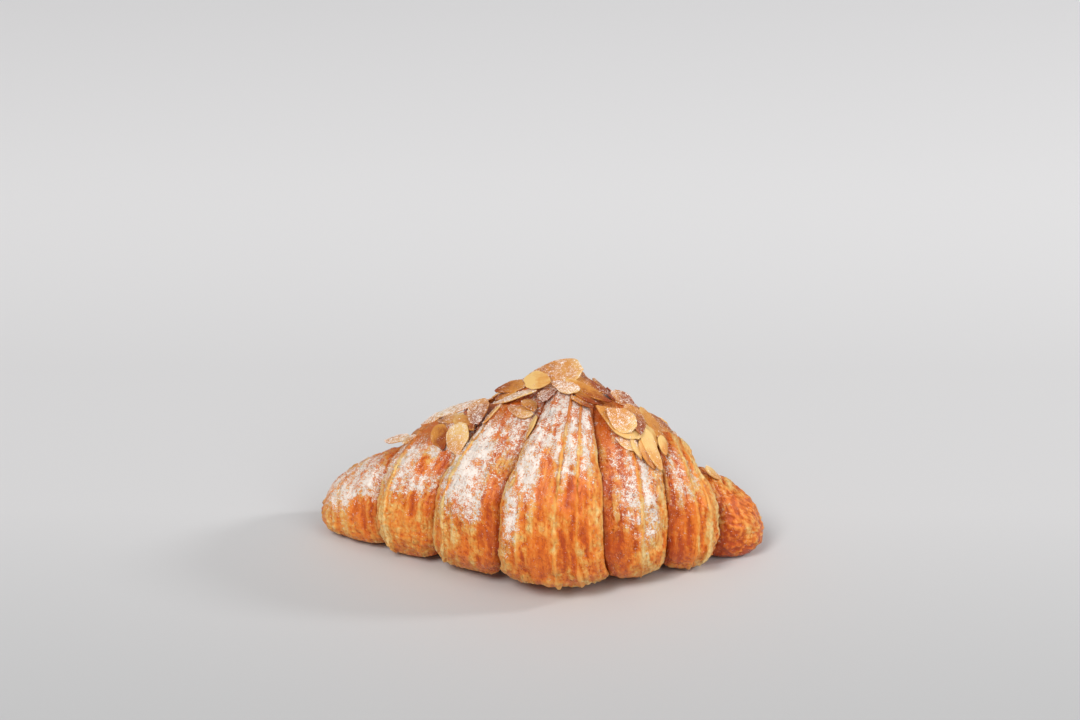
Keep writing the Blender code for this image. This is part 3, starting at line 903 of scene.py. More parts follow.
wander = DRY_WOBBLE * noise_at(ADDRESS, DRY_WAVES, 21.0)
DRY = np.zeros_like(ARC)
for number, side, lip in LIP_SIDES:
    width, dryness = DRY_BANDS[lip]
    inside = width - from_lip(number, side, 99.0) + wander
    DRY = np.maximum(DRY, dryness * ease(inside / SHEET_EDGE + 0.5))
leaf = noise_at(ADDRESS + LEAF_WOBBLE * WOBBLE, LEAF_SIZE, 4.0)
leaf += LEAF_FRAY * noise_at(SMOOTH, LEAF_FRAY_SIZE, 8.0)
gained = LEAF_CRACKLE * CRACKLE + DRY + LEAF_LOW_DOWN * LOW_DOWN
leaf += gained - LEAF_LOST - LEAF_LOST_GLAZED * GLAZED
WHOLE_LEAF = ease(leaf / LEAF_EDGE + 0.5)
DRYNESS = np.clip(0.5 + leaf, 0.0, 1.0)
LEAF_RIM = np.exp(-(((leaf - LEAF_EDGE / 2) / LEAF_CURL_WIDTH) ** 2))
print(f"the outer leaf is whole on {WHOLE_LEAF.mean():.0%} of the crust")

# %% [markdown]
# The layers are added and pushed out along the normals, and where two of them meet, one gives
# way. The flat underside stays as it is, and the bed of cream gets less of the dough's own
# texture, because it is smooth and glazed.

# %% Add the layers
FLAKY_TO = -8.0  # the left arm, up to here, is flaky rather than streaked, and so is the foot
FLAKY_FADE = 6.0
FLAKY_LOW = 0.6
GLAZE_SMOOTHS = 0.5  # shares by which one layer gives way to another
BLISTERS_HIDE_STREAKS = 0.6
FLAKES_HIDE_STREAKS = 0.4
BLISTERS_HIDE_LEAF = 0.7
CREAM_HIDES_ALL = 0.6
TIP_BLISTERS = 0.6  # how much higher the right tip's blisters are
ON_ROLLED_LIP = 0.4  # what is left of the relief on the rolled edge of a lip
FINE_HOLD = 5.0  # it grows in over this height above the table

CREAM = cream_share(ALONG, TURNS)
FLAKY = np.maximum(ease((FLAKY_TO - ALONG) / FLAKY_FADE), FLAKY_LOW * LOW_DOWN) * (1.0 - GLAZED)
HEIGHT = (SHEETS + CRACKLE_HEIGHT * CRACKLE) * (1.0 - GLAZE_SMOOTHS * GLAZED)
streaked = (1.0 - BLISTERS_HIDE_STREAKS * BLISTERED) * (1.0 - FLAKES_HIDE_STREAKS * FLAKY)
HEIGHT += (WRINKLE_HEIGHT * WRINKLES + THREAD_HEIGHT * THREADS) * streaked
HEIGHT += BLISTER_HEIGHT * BLISTERS * BLISTERED * (1.0 + TIP_BLISTERS * RIGHT_TIP)
leafy = 1.0 - BLISTERS_HIDE_LEAF * BLISTERED
HEIGHT += (LEAF_THICKNESS * WHOLE_LEAF + LEAF_CURL * LEAF_RIM) * leafy
HEIGHT -= HEIGHT.mean()
hold = ease(POINT[..., 2] / FINE_HOLD) * (1.0 - CREAM_HIDES_ALL * CREAM)
hold *= np.where(ROLL > 0.0, ON_ROLLED_LIP, 1.0)
push_out((HEIGHT + LUMP_HEIGHT * LUMPS) * hold)
print(f"the skin's relief is {HEIGHT.min():.2f} to {HEIGHT.max():.2f} mm")

# %% [markdown]
# ## What the colour needs to know
#
# Crust browns by its shape: edges that stand up to the heat go pale and crisp where the glaze
# missed them, and hollows keep the glaze and turn deep orange. So the height is compared with
# its own blurred copy, which tells ridges from hollows. Creases and lips are added from the
# distances kept with the rings. The creases and the undersides of the lips get painted shade,
# because the lips above them keep the light off. Painting these by hand would have to be done
# again after every change of the shape.

# %% Ridges and hollows
RIDGE_REACH = 3  # how many points away the blur reaches
RIDGE_HEIGHT = 0.35
PALE_LIP_REACH = 0.7
CREASE_REACHES = (2.8, 1.8)  # on a wrap's left side and on its right
CREASE_SHADE_REACH = 6.0
TIP_RIDGES = 0.9


def blurred(values, reach):
    """Values of the net averaged over a square of points."""
    total = sum(np.roll(values, k, axis=1) for k in range(-reach, reach + 1))
    padded = np.pad(total, ((reach, reach), (0, 0)), mode="edge")
    total = sum(padded[k : k + len(values)] for k in range(2 * reach + 1))
    return total / (2 * reach + 1) ** 2


def beside(kind, left_reach, right_reach):
    """1 at every edge of this kind, fading away from it over the reach on either side of a wrap."""
    found = np.array([[edge.kind == kind for edge in wrap] for wrap in WRAPS])
    left = np.exp(-FROM_LEFT / left_reach) * found[WRAP, 0]
    return left + np.exp(-FROM_RIGHT / right_reach) * found[WRAP, 1]


RIDGE = (HEIGHT - blurred(HEIGHT, RIDGE_REACH)) / RIDGE_HEIGHT
LIP_NEAR = beside("lip", PALE_LIP_REACH, PALE_LIP_REACH) * (1.0 - ROLL)
# Where painted shade goes: beside each crease, and all over the rolled underside of each lip.
CREASE_NEAR = np.maximum(beside("crease", *CREASE_REACHES) * (ROLL == 0.0), ROLL)
# Painted shade that reaches further out from each crease, added to the bake.
CREASE_WIDE_SHADE = beside("crease", CREASE_SHADE_REACH, CREASE_SHADE_REACH)
PALE_PARTS = ((0.7, RIDGE), (0.8, LIP_NEAR), (1.2, SHEET_EDGES), (0.3, THREADS), (0.8, CLEAN))
PALE = np.clip(sum(weight * part for weight, part in PALE_PARTS), -1.0, 1.0)
PALE = np.clip(PALE + TIP_RIDGES * RIGHT_TIP * np.clip(RIDGE, 0.0, 1.0), -1.0, 1.0)
print(f"pale ridges cover {np.mean(PALE > 0.5):.0%}, hollows {np.mean(PALE < -0.5):.0%}")

# %% [markdown]
# ## Where the icing sugar lies
#
# Icing sugar is shaken over from above, so it lies thick on what faces up and misses what is
# tucked under. It also falls in clouds, which leaves patches. Each patch is named like the glazed
# spots, and its strength is how thick the sugar lies there. On the back, which the picture
# doesn't show, one broad band stands for them all. The sugar then slides off standing edges,
# out of creases and off the glaze.

# %% Sugar patches
SUGAR_PATCHES = (
    Spot(-74, 38, 12, 45, 0.8),
    Spot(-63, 50, 5, 24, 1.0),
    Spot(-52, 40, 10, 28, 0.85),
    Spot(-44, 62, 6, 14, 0.8),
    Spot(-28, 44, 13, 38, 1.12),
    Spot(-14, 42, 6, 22, 0.6),
    Spot(-28, 52, 7, 26, 1.2),
    Spot(-22, 74, 6, 12, 0.9),
    Spot(-9, 74, 4, 22, 0.95),
    Spot(-2, 38, 10, 32, 0.9),
    Spot(10, 32, 9, 32, 0.85),
    Spot(30, 44, 11, 32, 0.6),
    Spot(32, 62, 6, 24, 1.0),
    Spot(34, 78, 6, 14, 0.9),
    Spot(46, 50, 8, 26, 0.7),
    Spot(62, 45, 5, 26, 0.3),
)
PATCH_EDGE = 0.9
SUGAR_ON_BACK = 0.8
BACK_TO = 80.0  # the band on the back ends this many degrees behind the crest
BACK_FADE = 30.0
CREST_FADE = 20.0
BACK_REACH = 62.0  # and this far along the spine
BACK_REACH_FADE = 14.0

back = ease((BACK_TO + DOWN) / BACK_FADE) * ease(-DOWN / CREST_FADE)
back *= ease((BACK_REACH - np.abs(ALONG)) / BACK_REACH_FADE)
SUGAR = SUGAR_ON_BACK * back
for patch in SUGAR_PATCHES:
    SUGAR = np.maximum(SUGAR, in_spot(patch, PATCH_EDGE))
print(f"sugar fell on {np.mean(SUGAR > 0.3):.0%} of the crust")

# %% Where the sugar stays
STEEPEST = -0.3  # how far a face may look down and still hold sugar
STEEP_FADE = 0.5
SUGAR_EVEN = 0.88
SUGAR_STREAKS = 0.2
SUGAR_STREAK_SIZE = (3.0, 8.0, 1.0)
SUGAR_CLOUDS = 0.6
SUGAR_CLOUD_SIZE = 3.0
SUGAR_ON_RIDGES = 0.12
SUGAR_LOST = 0.9  # the share that slides out of a crease or off an edge
SUGAR_LOST_GLAZED = 0.7
SUGAR_MOST = 1.2
SUGAR_SOME = 0.1  # ridges only add to sugar where there is at least this much

SUGAR *= ease((OUT[..., 2] - STEEPEST) / STEEP_FADE)
streaks = SUGAR_STREAKS * noise_at(ADDRESS, SUGAR_STREAK_SIZE, 1.0)
SUGAR *= SUGAR_EVEN + streaks + SUGAR_CLOUDS * noise_at(SMOOTH, SUGAR_CLOUD_SIZE, 1.0)
SUGAR += SUGAR_ON_RIDGES * np.clip(RIDGE, -1, 1) * (SUGAR > SUGAR_SOME)
edges = np.clip(CLEAN + LIP_NEAR**0.5, 0.0, 1.0)
SUGAR *= (1.0 - SUGAR_LOST * CREASE_NEAR**0.6) * (1.0 - SUGAR_LOST * edges)
SUGAR *= 1.0 - SUGAR_LOST_GLAZED * GLAZED
SUGAR = np.clip(SUGAR, 0.0, SUGAR_MOST)
print(f"sugar stays on {np.mean(SUGAR > 0.3):.0%} of the crust")

# %% [markdown]
# ## From net to mesh
#
# Now the arrays become a mesh: a quad between each four neighbours, and a fan at each tip. Two
# things go with it, numbers on the points that the material reads, and the dough address, so
# that the material's own streaks follow the wraps too.


# %% Build the crust
def mesh_from(name, points, faces, numbers, material):
    """A smooth-shaded object in metres, from points in millimetres, with named numbers on them."""
    mesh = bpy.data.meshes.new(name)
    mesh.from_pydata((points * MM).tolist(), [], faces)
    for label, values in numbers.items():
        kind, key = ("FLOAT_VECTOR", "vector") if values.ndim == 2 else ("FLOAT", "value")
        field = mesh.attributes.new(label, kind, "POINT")
        field.data.foreach_set(key, values.astype(np.float32).ravel())
    mesh.shade_smooth()
    mesh.materials.append(material)
    made = bpy.data.objects.new(name, mesh)
    bpy.context.scene.collection.objects.link(made)
    return made


def net_faces(count):
    """Quads between neighbouring rings, and fans to two last points at the tips."""
    start = np.arange(count - 1)[:, None] * AROUND
    column = np.arange(AROUND)[None, :]
    here, after = start + column, start + (column + 1) % AROUND
    quads = np.stack([here, here + AROUND, after + AROUND, after], axis=-1)
    left, right = count * AROUND, count * AROUND + 1
    last = (count - 1) * AROUND
    fans = [(left, k, (k + 1) % AROUND) for k in range(AROUND)]
    fans += [(right, last + (k + 1) % AROUND, last + k) for k in range(AROUND)]
    return quads.reshape(-1, 4).tolist() + fans


def with_tips(values):
    """The net's values as one row, with a value for each of the two points at the tips."""
    flat = values.reshape(-1, *values.shape[2:])
    return np.concatenate([flat, [values[0].mean(0)], [values[-1].mean(0)]])


faces = net_faces(len(POINT))
print(f"the crust has {sum(len(face) - 2 for face in faces)} triangles")

# %% [markdown]
# ## The look of baked crust
#
# Egg-washed crust goes from deep orange glaze to pale dry dough. So one number, how dry the place
# is, picks the colour from a ramp of five, and bake, ridges, streaks and broken plates of the
# outer leaf all add to it or take from it; the bake also carries painted shade beside the creases.
# The creases are darkened on top of that with painted shade. Sugar comes last: a thin veil where
# it has half melted, and white speckles where it stayed dry. One could paint an image for this,
# but nodes stay sharp at any distance and follow the numbers on the mesh.

# %% Crust colours
PALE_EDGE = linear(254, 216, 146)
DRY_GOLD = linear(248, 184, 98)
GOLDEN = linear(242, 152, 60)
ORANGE = linear(228, 114, 26)
DEEP_GLAZE = linear(186, 72, 12)
# Painted shade for the creases and the undersides of the lips.
CREASE_PAINTED_SHADE = linear(128, 38, 4)
CREAM_GLAZE = linear(204, 96, 26)
SUGAR_WHITE = linear(255, 243, 233)
SUGAR_VEIL = linear(248, 196, 154)
CRUST_TONES = ((0.0, DEEP_GLAZE), (0.25, ORANGE), (0.5, GOLDEN), (0.75, DRY_GOLD), (1.0, PALE_EDGE))
print(f"{len(CRUST_TONES)} tones from glazed to dry")


# %% Helpers for patterns
def from_mesh(tree, name, output="Fac"):
    """A number that each point of the mesh carries, or with the output Vector, three of them."""
    return add_node(tree, "ShaderNodeAttribute", attribute_name=name).outputs[output]


def noise_node(tree, where, size, detail=3.0, roughness=0.55):
    """Soft noise with lumps of this size, in the units of the vector that places it."""
    sockets = (("Vector", where), ("Scale", 1.0 / size), ("Detail", detail))
    return add_node(tree, "ShaderNodeTexNoise", (*sockets, ("Roughness", roughness))).outputs[0]


def stretched(tree, where, shares):
    """A place whose parts are each multiplied, so that noise there is drawn out."""
    node = add_node(tree, "ShaderNodeVectorMath", ((0, where), (1, shares)), operation="MULTIPLY")
    return node.outputs[0]


def weighted(tree, total, parts):
    """A number, plus other numbers that are each multiplied by their weight."""
    for part, weight in parts:
        total = math_node(tree, "MULTIPLY_ADD", part, weight, total)
    return total


def mix_colour(tree, share, first, second):
    """A blend of two colours."""
    sockets = ((0, share), (6, first), (7, second))
    return add_node(tree, "ShaderNodeMix", sockets, data_type="RGBA").outputs[2]


def bump(tree, height, depth, strength=1.0):
    """Makes the light fall as if the surface had this height, times a depth in mm."""
    sockets = (("Strength", strength), ("Distance", depth * MM), ("Height", height))
    return add_node(tree, "ShaderNodeBump", sockets).outputs[0]


print("more helpers ready")

# %% Plates and speckles
CRACK_WIDTH = 0.1
PLATE_STRETCH = (0.7, 0.15, 1.0)
PLATE_BEND_SIZE = 2.0
SPECKLE_SIZE = 0.5
SPECKLE_CLOUD_SIZE = 1.6
SPECKLES_FROM = 0.61  # there is no speckle below this level
SPECKLES_FULL = 0.66  # and it is all white above this one


def plates(tree, place, dough):
    """Broken plates of dry dough: each plate's own tone, and 1 in the cracks between them."""
    bend_inputs = (("Vector", place), ("Scale", 1.0 / (PLATE_BEND_SIZE * MM)))
    bend = add_node(tree, "ShaderNodeTexNoise", bend_inputs).outputs["Color"]
    ends = ((0, stretched(tree, dough, PLATE_STRETCH)), (1, bend))
    bent = add_node(tree, "ShaderNodeVectorMath", ends, operation="ADD").outputs[0]
    sockets = (("Vector", bent), ("Scale", 1.0), ("Randomness", 1.0))
    tone = add_node(tree, "ShaderNodeTexVoronoi", sockets, feature="F1").outputs["Color"]
    tone = add_node(tree, "ShaderNodeSeparateColor", ((0, tone),)).outputs[0]
    gap = add_node(tree, "ShaderNodeTexVoronoi", sockets, feature="DISTANCE_TO_EDGE")
    return tone, ramp(tree, gap.outputs["Distance"], CRACK_WIDTH, 0.0)


def sugar_cover(tree, place, fallen, size=SPECKLE_SIZE):
    """White speckles where sugar has fallen. They join up as it gets thicker."""
    speckle = noise_node(tree, place, size * MM, roughness=0.7)
    cloud = noise_node(tree, place, SPECKLE_CLOUD_SIZE * MM)
    depth = weighted(tree, 0.0, ((cloud, 0.35), (speckle, 0.65), (fallen, 0.2)))
    return ramp(tree, depth, SPECKLES_FROM, SPECKLES_FULL)


print(f"speckles of sugar are {SPECKLE_SIZE} mm wide")

# %% [markdown]
# The ramp needs its one number. Dryness and pale ridges raise it, and bake lowers it. The textures
# come on top, and count for more where the dough is dry and rough. Most of their detail runs
# along the streaks, but on the flaky left arm it is crumbs instead. The same textures also tilt
# the light a little, which adds relief that is finer than the net.

# %% The crust's material
MOTTLE_SIZE = 5.0
CRUMB_SIZE = 1.1
FINEST_SIZE = 0.7
STREAK_STRETCH = (0.8, 0.09, 1.0)
THREAD_STRETCH = (2.2, 0.25, 1.0)
CRUMBLY = 0.8  # how far crumbs take the place of threads on flaky crust
TEXTURE_START = -1.4  # brings the sum of the textures down to about 0
SKIN_LEAST = 0.4  # how much the textures count on smooth dough
SKIN_DRY = 0.9  # and how much more on the driest
DRY_START = 0.46
VEIL_SHARE = 0.35
VEIL_FROM = 0.1
CRUST_SHINE = 0.4
CRUST_ROUGHNESS = 0.12  # that of clean glaze; dust and dryness add to it
SPOT_GLOSS = -0.16
CRUST_BUMP = 0.55


def crust_textures(tree, place, dough):
    """The crust's noises: plates, cracks, slow mottling, streaks, threads or crumbs, and fine."""
    mottle = noise_node(tree, place, MOTTLE_SIZE * MM, detail=4.0, roughness=0.6)
    streak = noise_node(tree, stretched(tree, dough, STREAK_STRETCH), 1.0, detail=4.0, roughness=0.6)
    thread = noise_node(tree, stretched(tree, dough, THREAD_STRETCH), 1.0, detail=4.0, roughness=0.65)
    crumb = noise_node(tree, place, CRUMB_SIZE * MM, detail=4.0, roughness=0.7)
    fine = noise_node(tree, place, FINEST_SIZE * MM, detail=4.0, roughness=0.7)
    crumbly = math_node(tree, "SUBTRACT", crumb, thread)
    crumbly = math_node(tree, "MULTIPLY", crumbly, from_mesh(tree, "flaky"))
    thread = weighted(tree, thread, ((crumbly, CRUMBLY),))
    return (*plates(tree, place, dough), mottle, streak, thread, fine)


def crust_material():
    """Baked dough, from glazed to dry, with sugar on it."""
    material, tree, shader = new_material("baked crust")
    place = object_place(tree)
    patterns = crust_textures(tree, place, from_mesh(tree, "dough", "Vector"))
    plate, crack, mottle, streak, thread, fine = patterns
    dryness = from_mesh(tree, "dryness")
    rough_skin = weighted(tree, SKIN_LEAST, ((dryness, SKIN_DRY),))
    textures = ((crack, -0.12), (plate, 0.3), (mottle, 0.2), (streak, 0.5), (thread, 1.0), (fine, 0.8))
    texture = weighted(tree, TEXTURE_START, textures)
    skin_weights = ((dryness, 0.42), (from_mesh(tree, "pale"), 0.3), (from_mesh(tree, "bake_and_shade"), -0.35))
    dry = weighted(tree, DRY_START, (*skin_weights, (texture, rough_skin)))

    colour = colour_ramp(tree, dry, CRUST_TONES)
    # Painted shade darkens the creases, and the bed of cream gets its glaze.
    for name, most, tone in (("crease", 0.8, CREASE_PAINTED_SHADE), ("cream", 0.7, CREAM_GLAZE)):
        share = math_node(tree, "MULTIPLY", from_mesh(tree, name), most)
        colour = mix_colour(tree, share, colour, tone)
    sugar = from_mesh(tree, "sugar")
    cover = sugar_cover(tree, place, sugar)
    veil = math_node(tree, "MULTIPLY", ramp(tree, sugar, VEIL_FROM, 1.0), VEIL_SHARE)
    colour = mix_colour(tree, veil, colour, SUGAR_VEIL)
    colour = mix_colour(tree, cover, colour, SUGAR_WHITE)

    dusty = math_node(tree, "MAXIMUM", cover, math_node(tree, "MAXIMUM", veil, dry))
    rough = weighted(tree, CRUST_ROUGHNESS, ((fine, 0.2), (dusty, 0.4)))
    rough = math_node(tree, "MULTIPLY_ADD", from_mesh(tree, "gloss"), SPOT_GLOSS, rough, clamp=True)
    height = weighted(tree, fine, ((thread, 1.0), (plate, 0.6), (crack, -0.25)))
    height = math_node(tree, "MULTIPLY", height, rough_skin)
    normal = bump(tree, weighted(tree, height, ((cover, 0.15),)), CRUST_BUMP)
    fill(tree, shader, (("Base Color", colour), ("Roughness", rough), ("Normal", normal)))
    fill(tree, shader, (("Specular IOR Level", CRUST_SHINE),))
    return material


crust_look = crust_material()
print(f"{crust_look.name}: {len(crust_look.node_tree.nodes)} nodes")

# %% [markdown]
# Bake is how brown a place is on the whole, with some painted shade in it. It changes slowly
# over the dough. The foot next to the tray and the right tip are darker, and the left arm stays
# paler. Beside the creases it is darker too, which is painted shade from the lips above them. Two
# brown spots that the picture shows are listed, and the second of them, on the wrap right of the
# middle one, is partly darker glaze and partly painted shade from the middle wrap's lip. Then the
# mesh is made with all its numbers.

# %% How brown each place is
BAKE_START = 0.45
BAKE_PARTS = (  # how much each part adds
    (0.35, noise_at(SMOOTH, 24.0, 12.0)),  # slow changes
    (0.35, RIGHT_TIP),
    # painted shade beside the creases
    (0.45, CREASE_WIDE_SHADE),
    (0.4, 1.0 - ease(SMOOTH[..., 2] / 5.0)),  # the foot
    (0.25, GLAZED),
    (-0.2, ease((-34.0 - ALONG) / 6.0)),  # the left arm
    (0.6, RIGHT_TIP * (1.0 - ease(SMOOTH[..., 2] / 14.0))),  # the lower side of the right tip
)
# The second spot is partly painted shade, from the lip of the middle wrap.
BAKED_SPOTS = (Spot(11, 82, 5, 26, 0.35), Spot(29, 50, 9, 34, 0.4))
BAKED_EDGE = 1.0

BAKE_AND_SHADE = BAKE_START + sum(weight * part for weight, part in BAKE_PARTS)
BAKE_AND_SHADE += sum(in_spot(spot, BAKED_EDGE) for spot in BAKED_SPOTS)
print(f"bake goes from {BAKE_AND_SHADE.min():.2f} to {BAKE_AND_SHADE.max():.2f}")

# %% Dress the crust
TIP_GLOSS = 0.9

tip_points = with_tips(POINT)
crust_numbers = {
    "dough": ADDRESS,
    "bake_and_shade": BAKE_AND_SHADE,
    "pale": PALE,
    "crease": CREASE_NEAR,
    "dryness": DRYNESS,
    "flaky": FLAKY,
    "gloss": np.clip(GLAZED + TIP_GLOSS * RIGHT_TIP, 0.0, 1.0),
    "cream": CREAM,
    "sugar": SUGAR,
}
crust_numbers = {label: with_tips(values) for label, values in crust_numbers.items()}
crust = mesh_from("crust", tip_points, faces, crust_numbers, crust_look)
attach(crust, "root")
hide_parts("croissant")
print(f"crust built: {len(crust.data.polygons)} faces")

# %% [markdown]
# ## The almond flakes
#
# An almond flake is a thin slice, pointed at one end, round at the other, and slightly cupped
# from drying in the oven. Those that the picture shows are listed one by one, by a place on the
# dough, a heading and a tilt. Toast says how brown each one is, and sugar how much fell on it.
# They are laid one after another, each lowered until it rests on the crust or on earlier ones,
# just as in the solid, so a heap builds up by itself.

# %% Flakes one by one
Flake = namedtuple("Flake", "along turn heading rise roll length width toast sugar")
FLAKES_ON_LEFT = (
    Flake(-61, -15, 188, 20, -20, 11, 8, 0.45, 0.9),
    Flake(-53, 10, -16, 0, 6, 9, 5, 0.35, 0.5),
    Flake(-47, -12, 180, 0, -20, 11, 7, 0.4, 0.9),
    Flake(-38, 27, -72, 0, 0, 14, 9, 0.8, 0.0),
    Flake(-37, 6, 162, 0, -10, 13, 8, 0.45, 0.4),
    Flake(-29, 21, -48, 0, -8, 15, 8, 0.55, 0.1),
    Flake(-29, 36, -88, 3, 0, 14, 12, 0.2, 0.6),
    Flake(-24, 15, -80, -8, 0, 15, 11, 0.8, 0.7),
    Flake(-30, -26, 4, 0, 0, 12, 7, 0.3, 1.0),
    Flake(-36, -13, 2, 0, 18, 22, 10, 0.3, 1.0),
    Flake(-19, 22, 250, 0, 15, 12, 5, 0.4, 0.3),
    Flake(-3, 32, -94, -14, 35, 11, 6, 0.15, 0.1),
)
FLAKES_ON_RIGHT = (
    Flake(61, 12, 8, 0, 6, 10, 6, 0.2, 0.2),
    Flake(28, -2, -44, 0, 22, 12, 9, 0.9, 0.6),
    Flake(42, -3, 22, 0, 12, 14, 10, 0.75, 0.3),
    Flake(38, 12, -60, 0, 2, 21, 8, 0.6, 0.1),
    Flake(28, 34, 160, 0, 0, 9, 6, 0.25, 0.7),
    Flake(31, 37, -66, 0, -20, 9, 5, 0.1, 0.1),
    Flake(35, 39, -60, 0, -4, 13, 7, 0.6, 0.05),
    Flake(40, 28, -74, 2, 0, 9, 5, 0.2, 0.0),
    Flake(37, 25, -74, 0, 0, 12, 7, 0.2, 0.0),
    Flake(36, 35, -62, 4, 4, 19, 7, 0.12, 0.1),
    Flake(25, 23, 148, 0, -4, 20, 13, 0.35, 0.15),
    Flake(31, 19, -83, 0, 0, 16, 11, 0.85, 0.3),
    Flake(25, 23, 156, 0, -14, 13, 12, 0.4, 0.6),
)
FLAKES_ON_PEAK = (
    Flake(-16, 0, 178, 0, -8, 10, 8, 0.7, 0.1),
    Flake(-14, -4, 188, 12, -18, 13, 9, 0.75, 0.1),
    Flake(1, 14, -90, -18, 2, 13, 9, 0.95, 0.7),
    Flake(13, 17, -12, 0, -14, 9, 5, 0.75, 0.1),
    Flake(14, 13, -18, 0, -6, 11, 6, 0.85, 0.0),
    Flake(-9, 20, 152, 0, 6, 13, 7, 0.5, 0.5),
    Flake(-5, 16, -55, 0, -30, 10, 7, 0.5, 0.2),
    Flake(20, -4, -48, -5, -10, 14, 8, 0.95, 0.1),
    Flake(-11, 10, 185, 0, 12, 19, 9, 0.3, 0.9),
    Flake(-1, -8, -24, 0, 12, 12, 10, 0.3, 0.1),
    Flake(15, 1, -4, -3, 8, 16, 9, 0.8, 0.25),
    Flake(15, 8, -2, -4, 6, 19, 8, 0.7, 0.0),
    Flake(2, -1, 168, -4, -32, 24, 14, 0.6, 0.6),
    Flake(7, 11, 150, 0, -6, 12, 7, 0.5, 0.8),
    Flake(-1, 6, -22, -6, 20, 12, 10, 0.1, 0.0),
)
PLACED = FLAKES_ON_LEFT + FLAKES_ON_RIGHT + FLAKES_ON_PEAK
print(f"{len(PLACED)} flakes placed by hand")

# %% [markdown]
# On the back, which the picture doesn't show, almonds are strewn by chance. The draw starts from
# a fixed seed, so it gives the same flakes each time, and a try that lands too near another
# flake is left out. The solid uses the same draw.

# %% Flakes by chance, on the back
STREWN_SEED = 1
STREWN_TRIES = 600
STREWN_MOST = 26
STREWN_FROM = -58
STREWN_TO = 46
STREWN_TURNS = (-58, -36)
STREWN_GAP = 7.6
STREWN_LENGTHS = (11, 17)
STREWN_WIDTH_SHARES = (0.55, 0.7)
STREWN_RISES = (-3, 4)
STREWN_ROLLS = (-8, 8)
TONE_SEED = 4


def strewn_flakes(placed):
    """More flakes over the crest and the back, by a seeded draw that keeps a gap between them."""
    draw = random.Random(STREWN_SEED)
    tone = random.Random(TONE_SEED)
    taken = [on_crust(flake.along, math.radians(flake.turn)) for flake in placed]
    strewn = []
    for _ in range(STREWN_TRIES):
        along = draw.uniform(STREWN_FROM, STREWN_TO)
        turn = draw.uniform(*STREWN_TURNS)
        place = on_crust(along, math.radians(turn))
        clear = all((place - other).length > STREWN_GAP for other in taken)
        if clear and len(strewn) < STREWN_MOST:
            length = draw.uniform(*STREWN_LENGTHS)
            width = length * draw.uniform(*STREWN_WIDTH_SHARES)
            heading = draw.uniform(0, 360)
            rise = draw.uniform(*STREWN_RISES)
            roll = draw.uniform(*STREWN_ROLLS)
            look = (tone.uniform(0.1, 0.85), tone.uniform(0.1, 0.8))
            strewn.append(Flake(along, turn, heading, rise, roll, length, width, *look))
            taken.append(place)
    return tuple(strewn)


FLAKES = strewn_flakes(PLACED) + PLACED
print(f"{len(FLAKES)} flakes in all")

# %% [markdown]
# To lay a flake, it is held above its place, level with the crust there, and turned, pitched and
# rolled. Rays from its points then find how far it can come down before it touches the crust or
# an earlier flake. It ends a little deeper than that, because the cream held it. A physics
# simulation could drop them too, but this way each one stays where the picture has it.

# %% A flake as the solid has it
FLAKE_THICKNESS = 0.9
FLAKE_SIDES = 12
FLAKE_POINT = 0.6
FLAKE_CUP = 0.3


def plain_flake(flake):
    """The points and faces of a plain cupped slab."""
    angle = np.linspace(0.0, 2.0 * math.pi, FLAKE_SIDES, endpoint=False)
    x = flake.length / 2 * np.cos(angle)
    y = flake.width / 2 * np.sin(angle) * np.sin(angle / 2.0) ** FLAKE_POINT
    points = []
    for level in (FLAKE_THICKNESS / 2, -FLAKE_THICKNESS / 2):
        points += [Vector((px, py, level - FLAKE_CUP)) for px, py in zip(x, y)]
        points.append(Vector((0.0, 0.0, level)))
    slab = []
    top, under = FLAKE_SIDES, 2 * FLAKE_SIDES + 1
    for k in range(FLAKE_SIDES):
        after = (k + 1) % FLAKE_SIDES
        slab += [(top, k, after), (under, top + 1 + after, top + 1 + k)]
        slab.append((k, top + 1 + k, top + 1 + after, after))
    return points, slab


print(f"a plain flake has {len(plain_flake(PLACED[0])[0])} points")

# %% Laying a flake
FLAKE_SINK = 0.6
FLAKE_SPAN = 9.0
FLAKE_TURN = math.radians(5)
RAY_START = 19.5


def flake_frame(flake):
    """A flake's turn and place before it is lowered, and the way out from the crust there."""
    turn = math.radians(flake.turn)
    left = on_crust(flake.along - FLAKE_SPAN, turn)
    right = on_crust(flake.along + FLAKE_SPAN, turn)
    uphill = on_crust(flake.along, turn - FLAKE_TURN) - on_crust(flake.along, turn + FLAKE_TURN)
    run = (right - left).normalized()
    out = run.cross(uphill).normalized()
    placed = Matrix((run, out.cross(run), out)).transposed().to_4x4()
    spin = Matrix.Rotation(math.radians(flake.heading), 4, "Z")
    pitch = Matrix.Rotation(-math.radians(flake.rise), 4, "Y")
    roll = Matrix.Rotation(math.radians(flake.roll), 4, "X")
    place = Matrix.Translation(on_crust(flake.along, turn))
    return place @ placed @ spin @ pitch @ roll, out


crust_points = [Vector(point) for point in tip_points.tolist()]
trees = [BVHTree.FromPolygons(crust_points, faces)]
laid = []
for flake in FLAKES:
    matrix, out = flake_frame(flake)
    points, slab = plain_flake(flake)
    points = [matrix @ point for point in points]
    heights = []
    for point in points:
        hits = [tree.ray_cast(point + out * RAY_START, -out)[3] for tree in trees]
        heights += [hit - RAY_START for hit in hits if hit is not None]
    drop = -out * (min(heights) + FLAKE_SINK)
    trees.append(BVHTree.FromPolygons([point + drop for point in points], slab))
    laid.append(Matrix.Translation(drop) @ matrix)
print(f"{len(laid)} flakes laid; the highest is at {max(m.translation.z for m in laid):.1f} mm")

# %% [markdown]
# Each flake is then modelled finely in its own frame. Rings of points run from the middle to the
# edge on both faces. A slice that a blade cut has a crisp edge, so the last rings lie close
# together and leave it almost upright. Seeded noise makes the outline a little uneven and warps
# the slice, so that no two are alike.

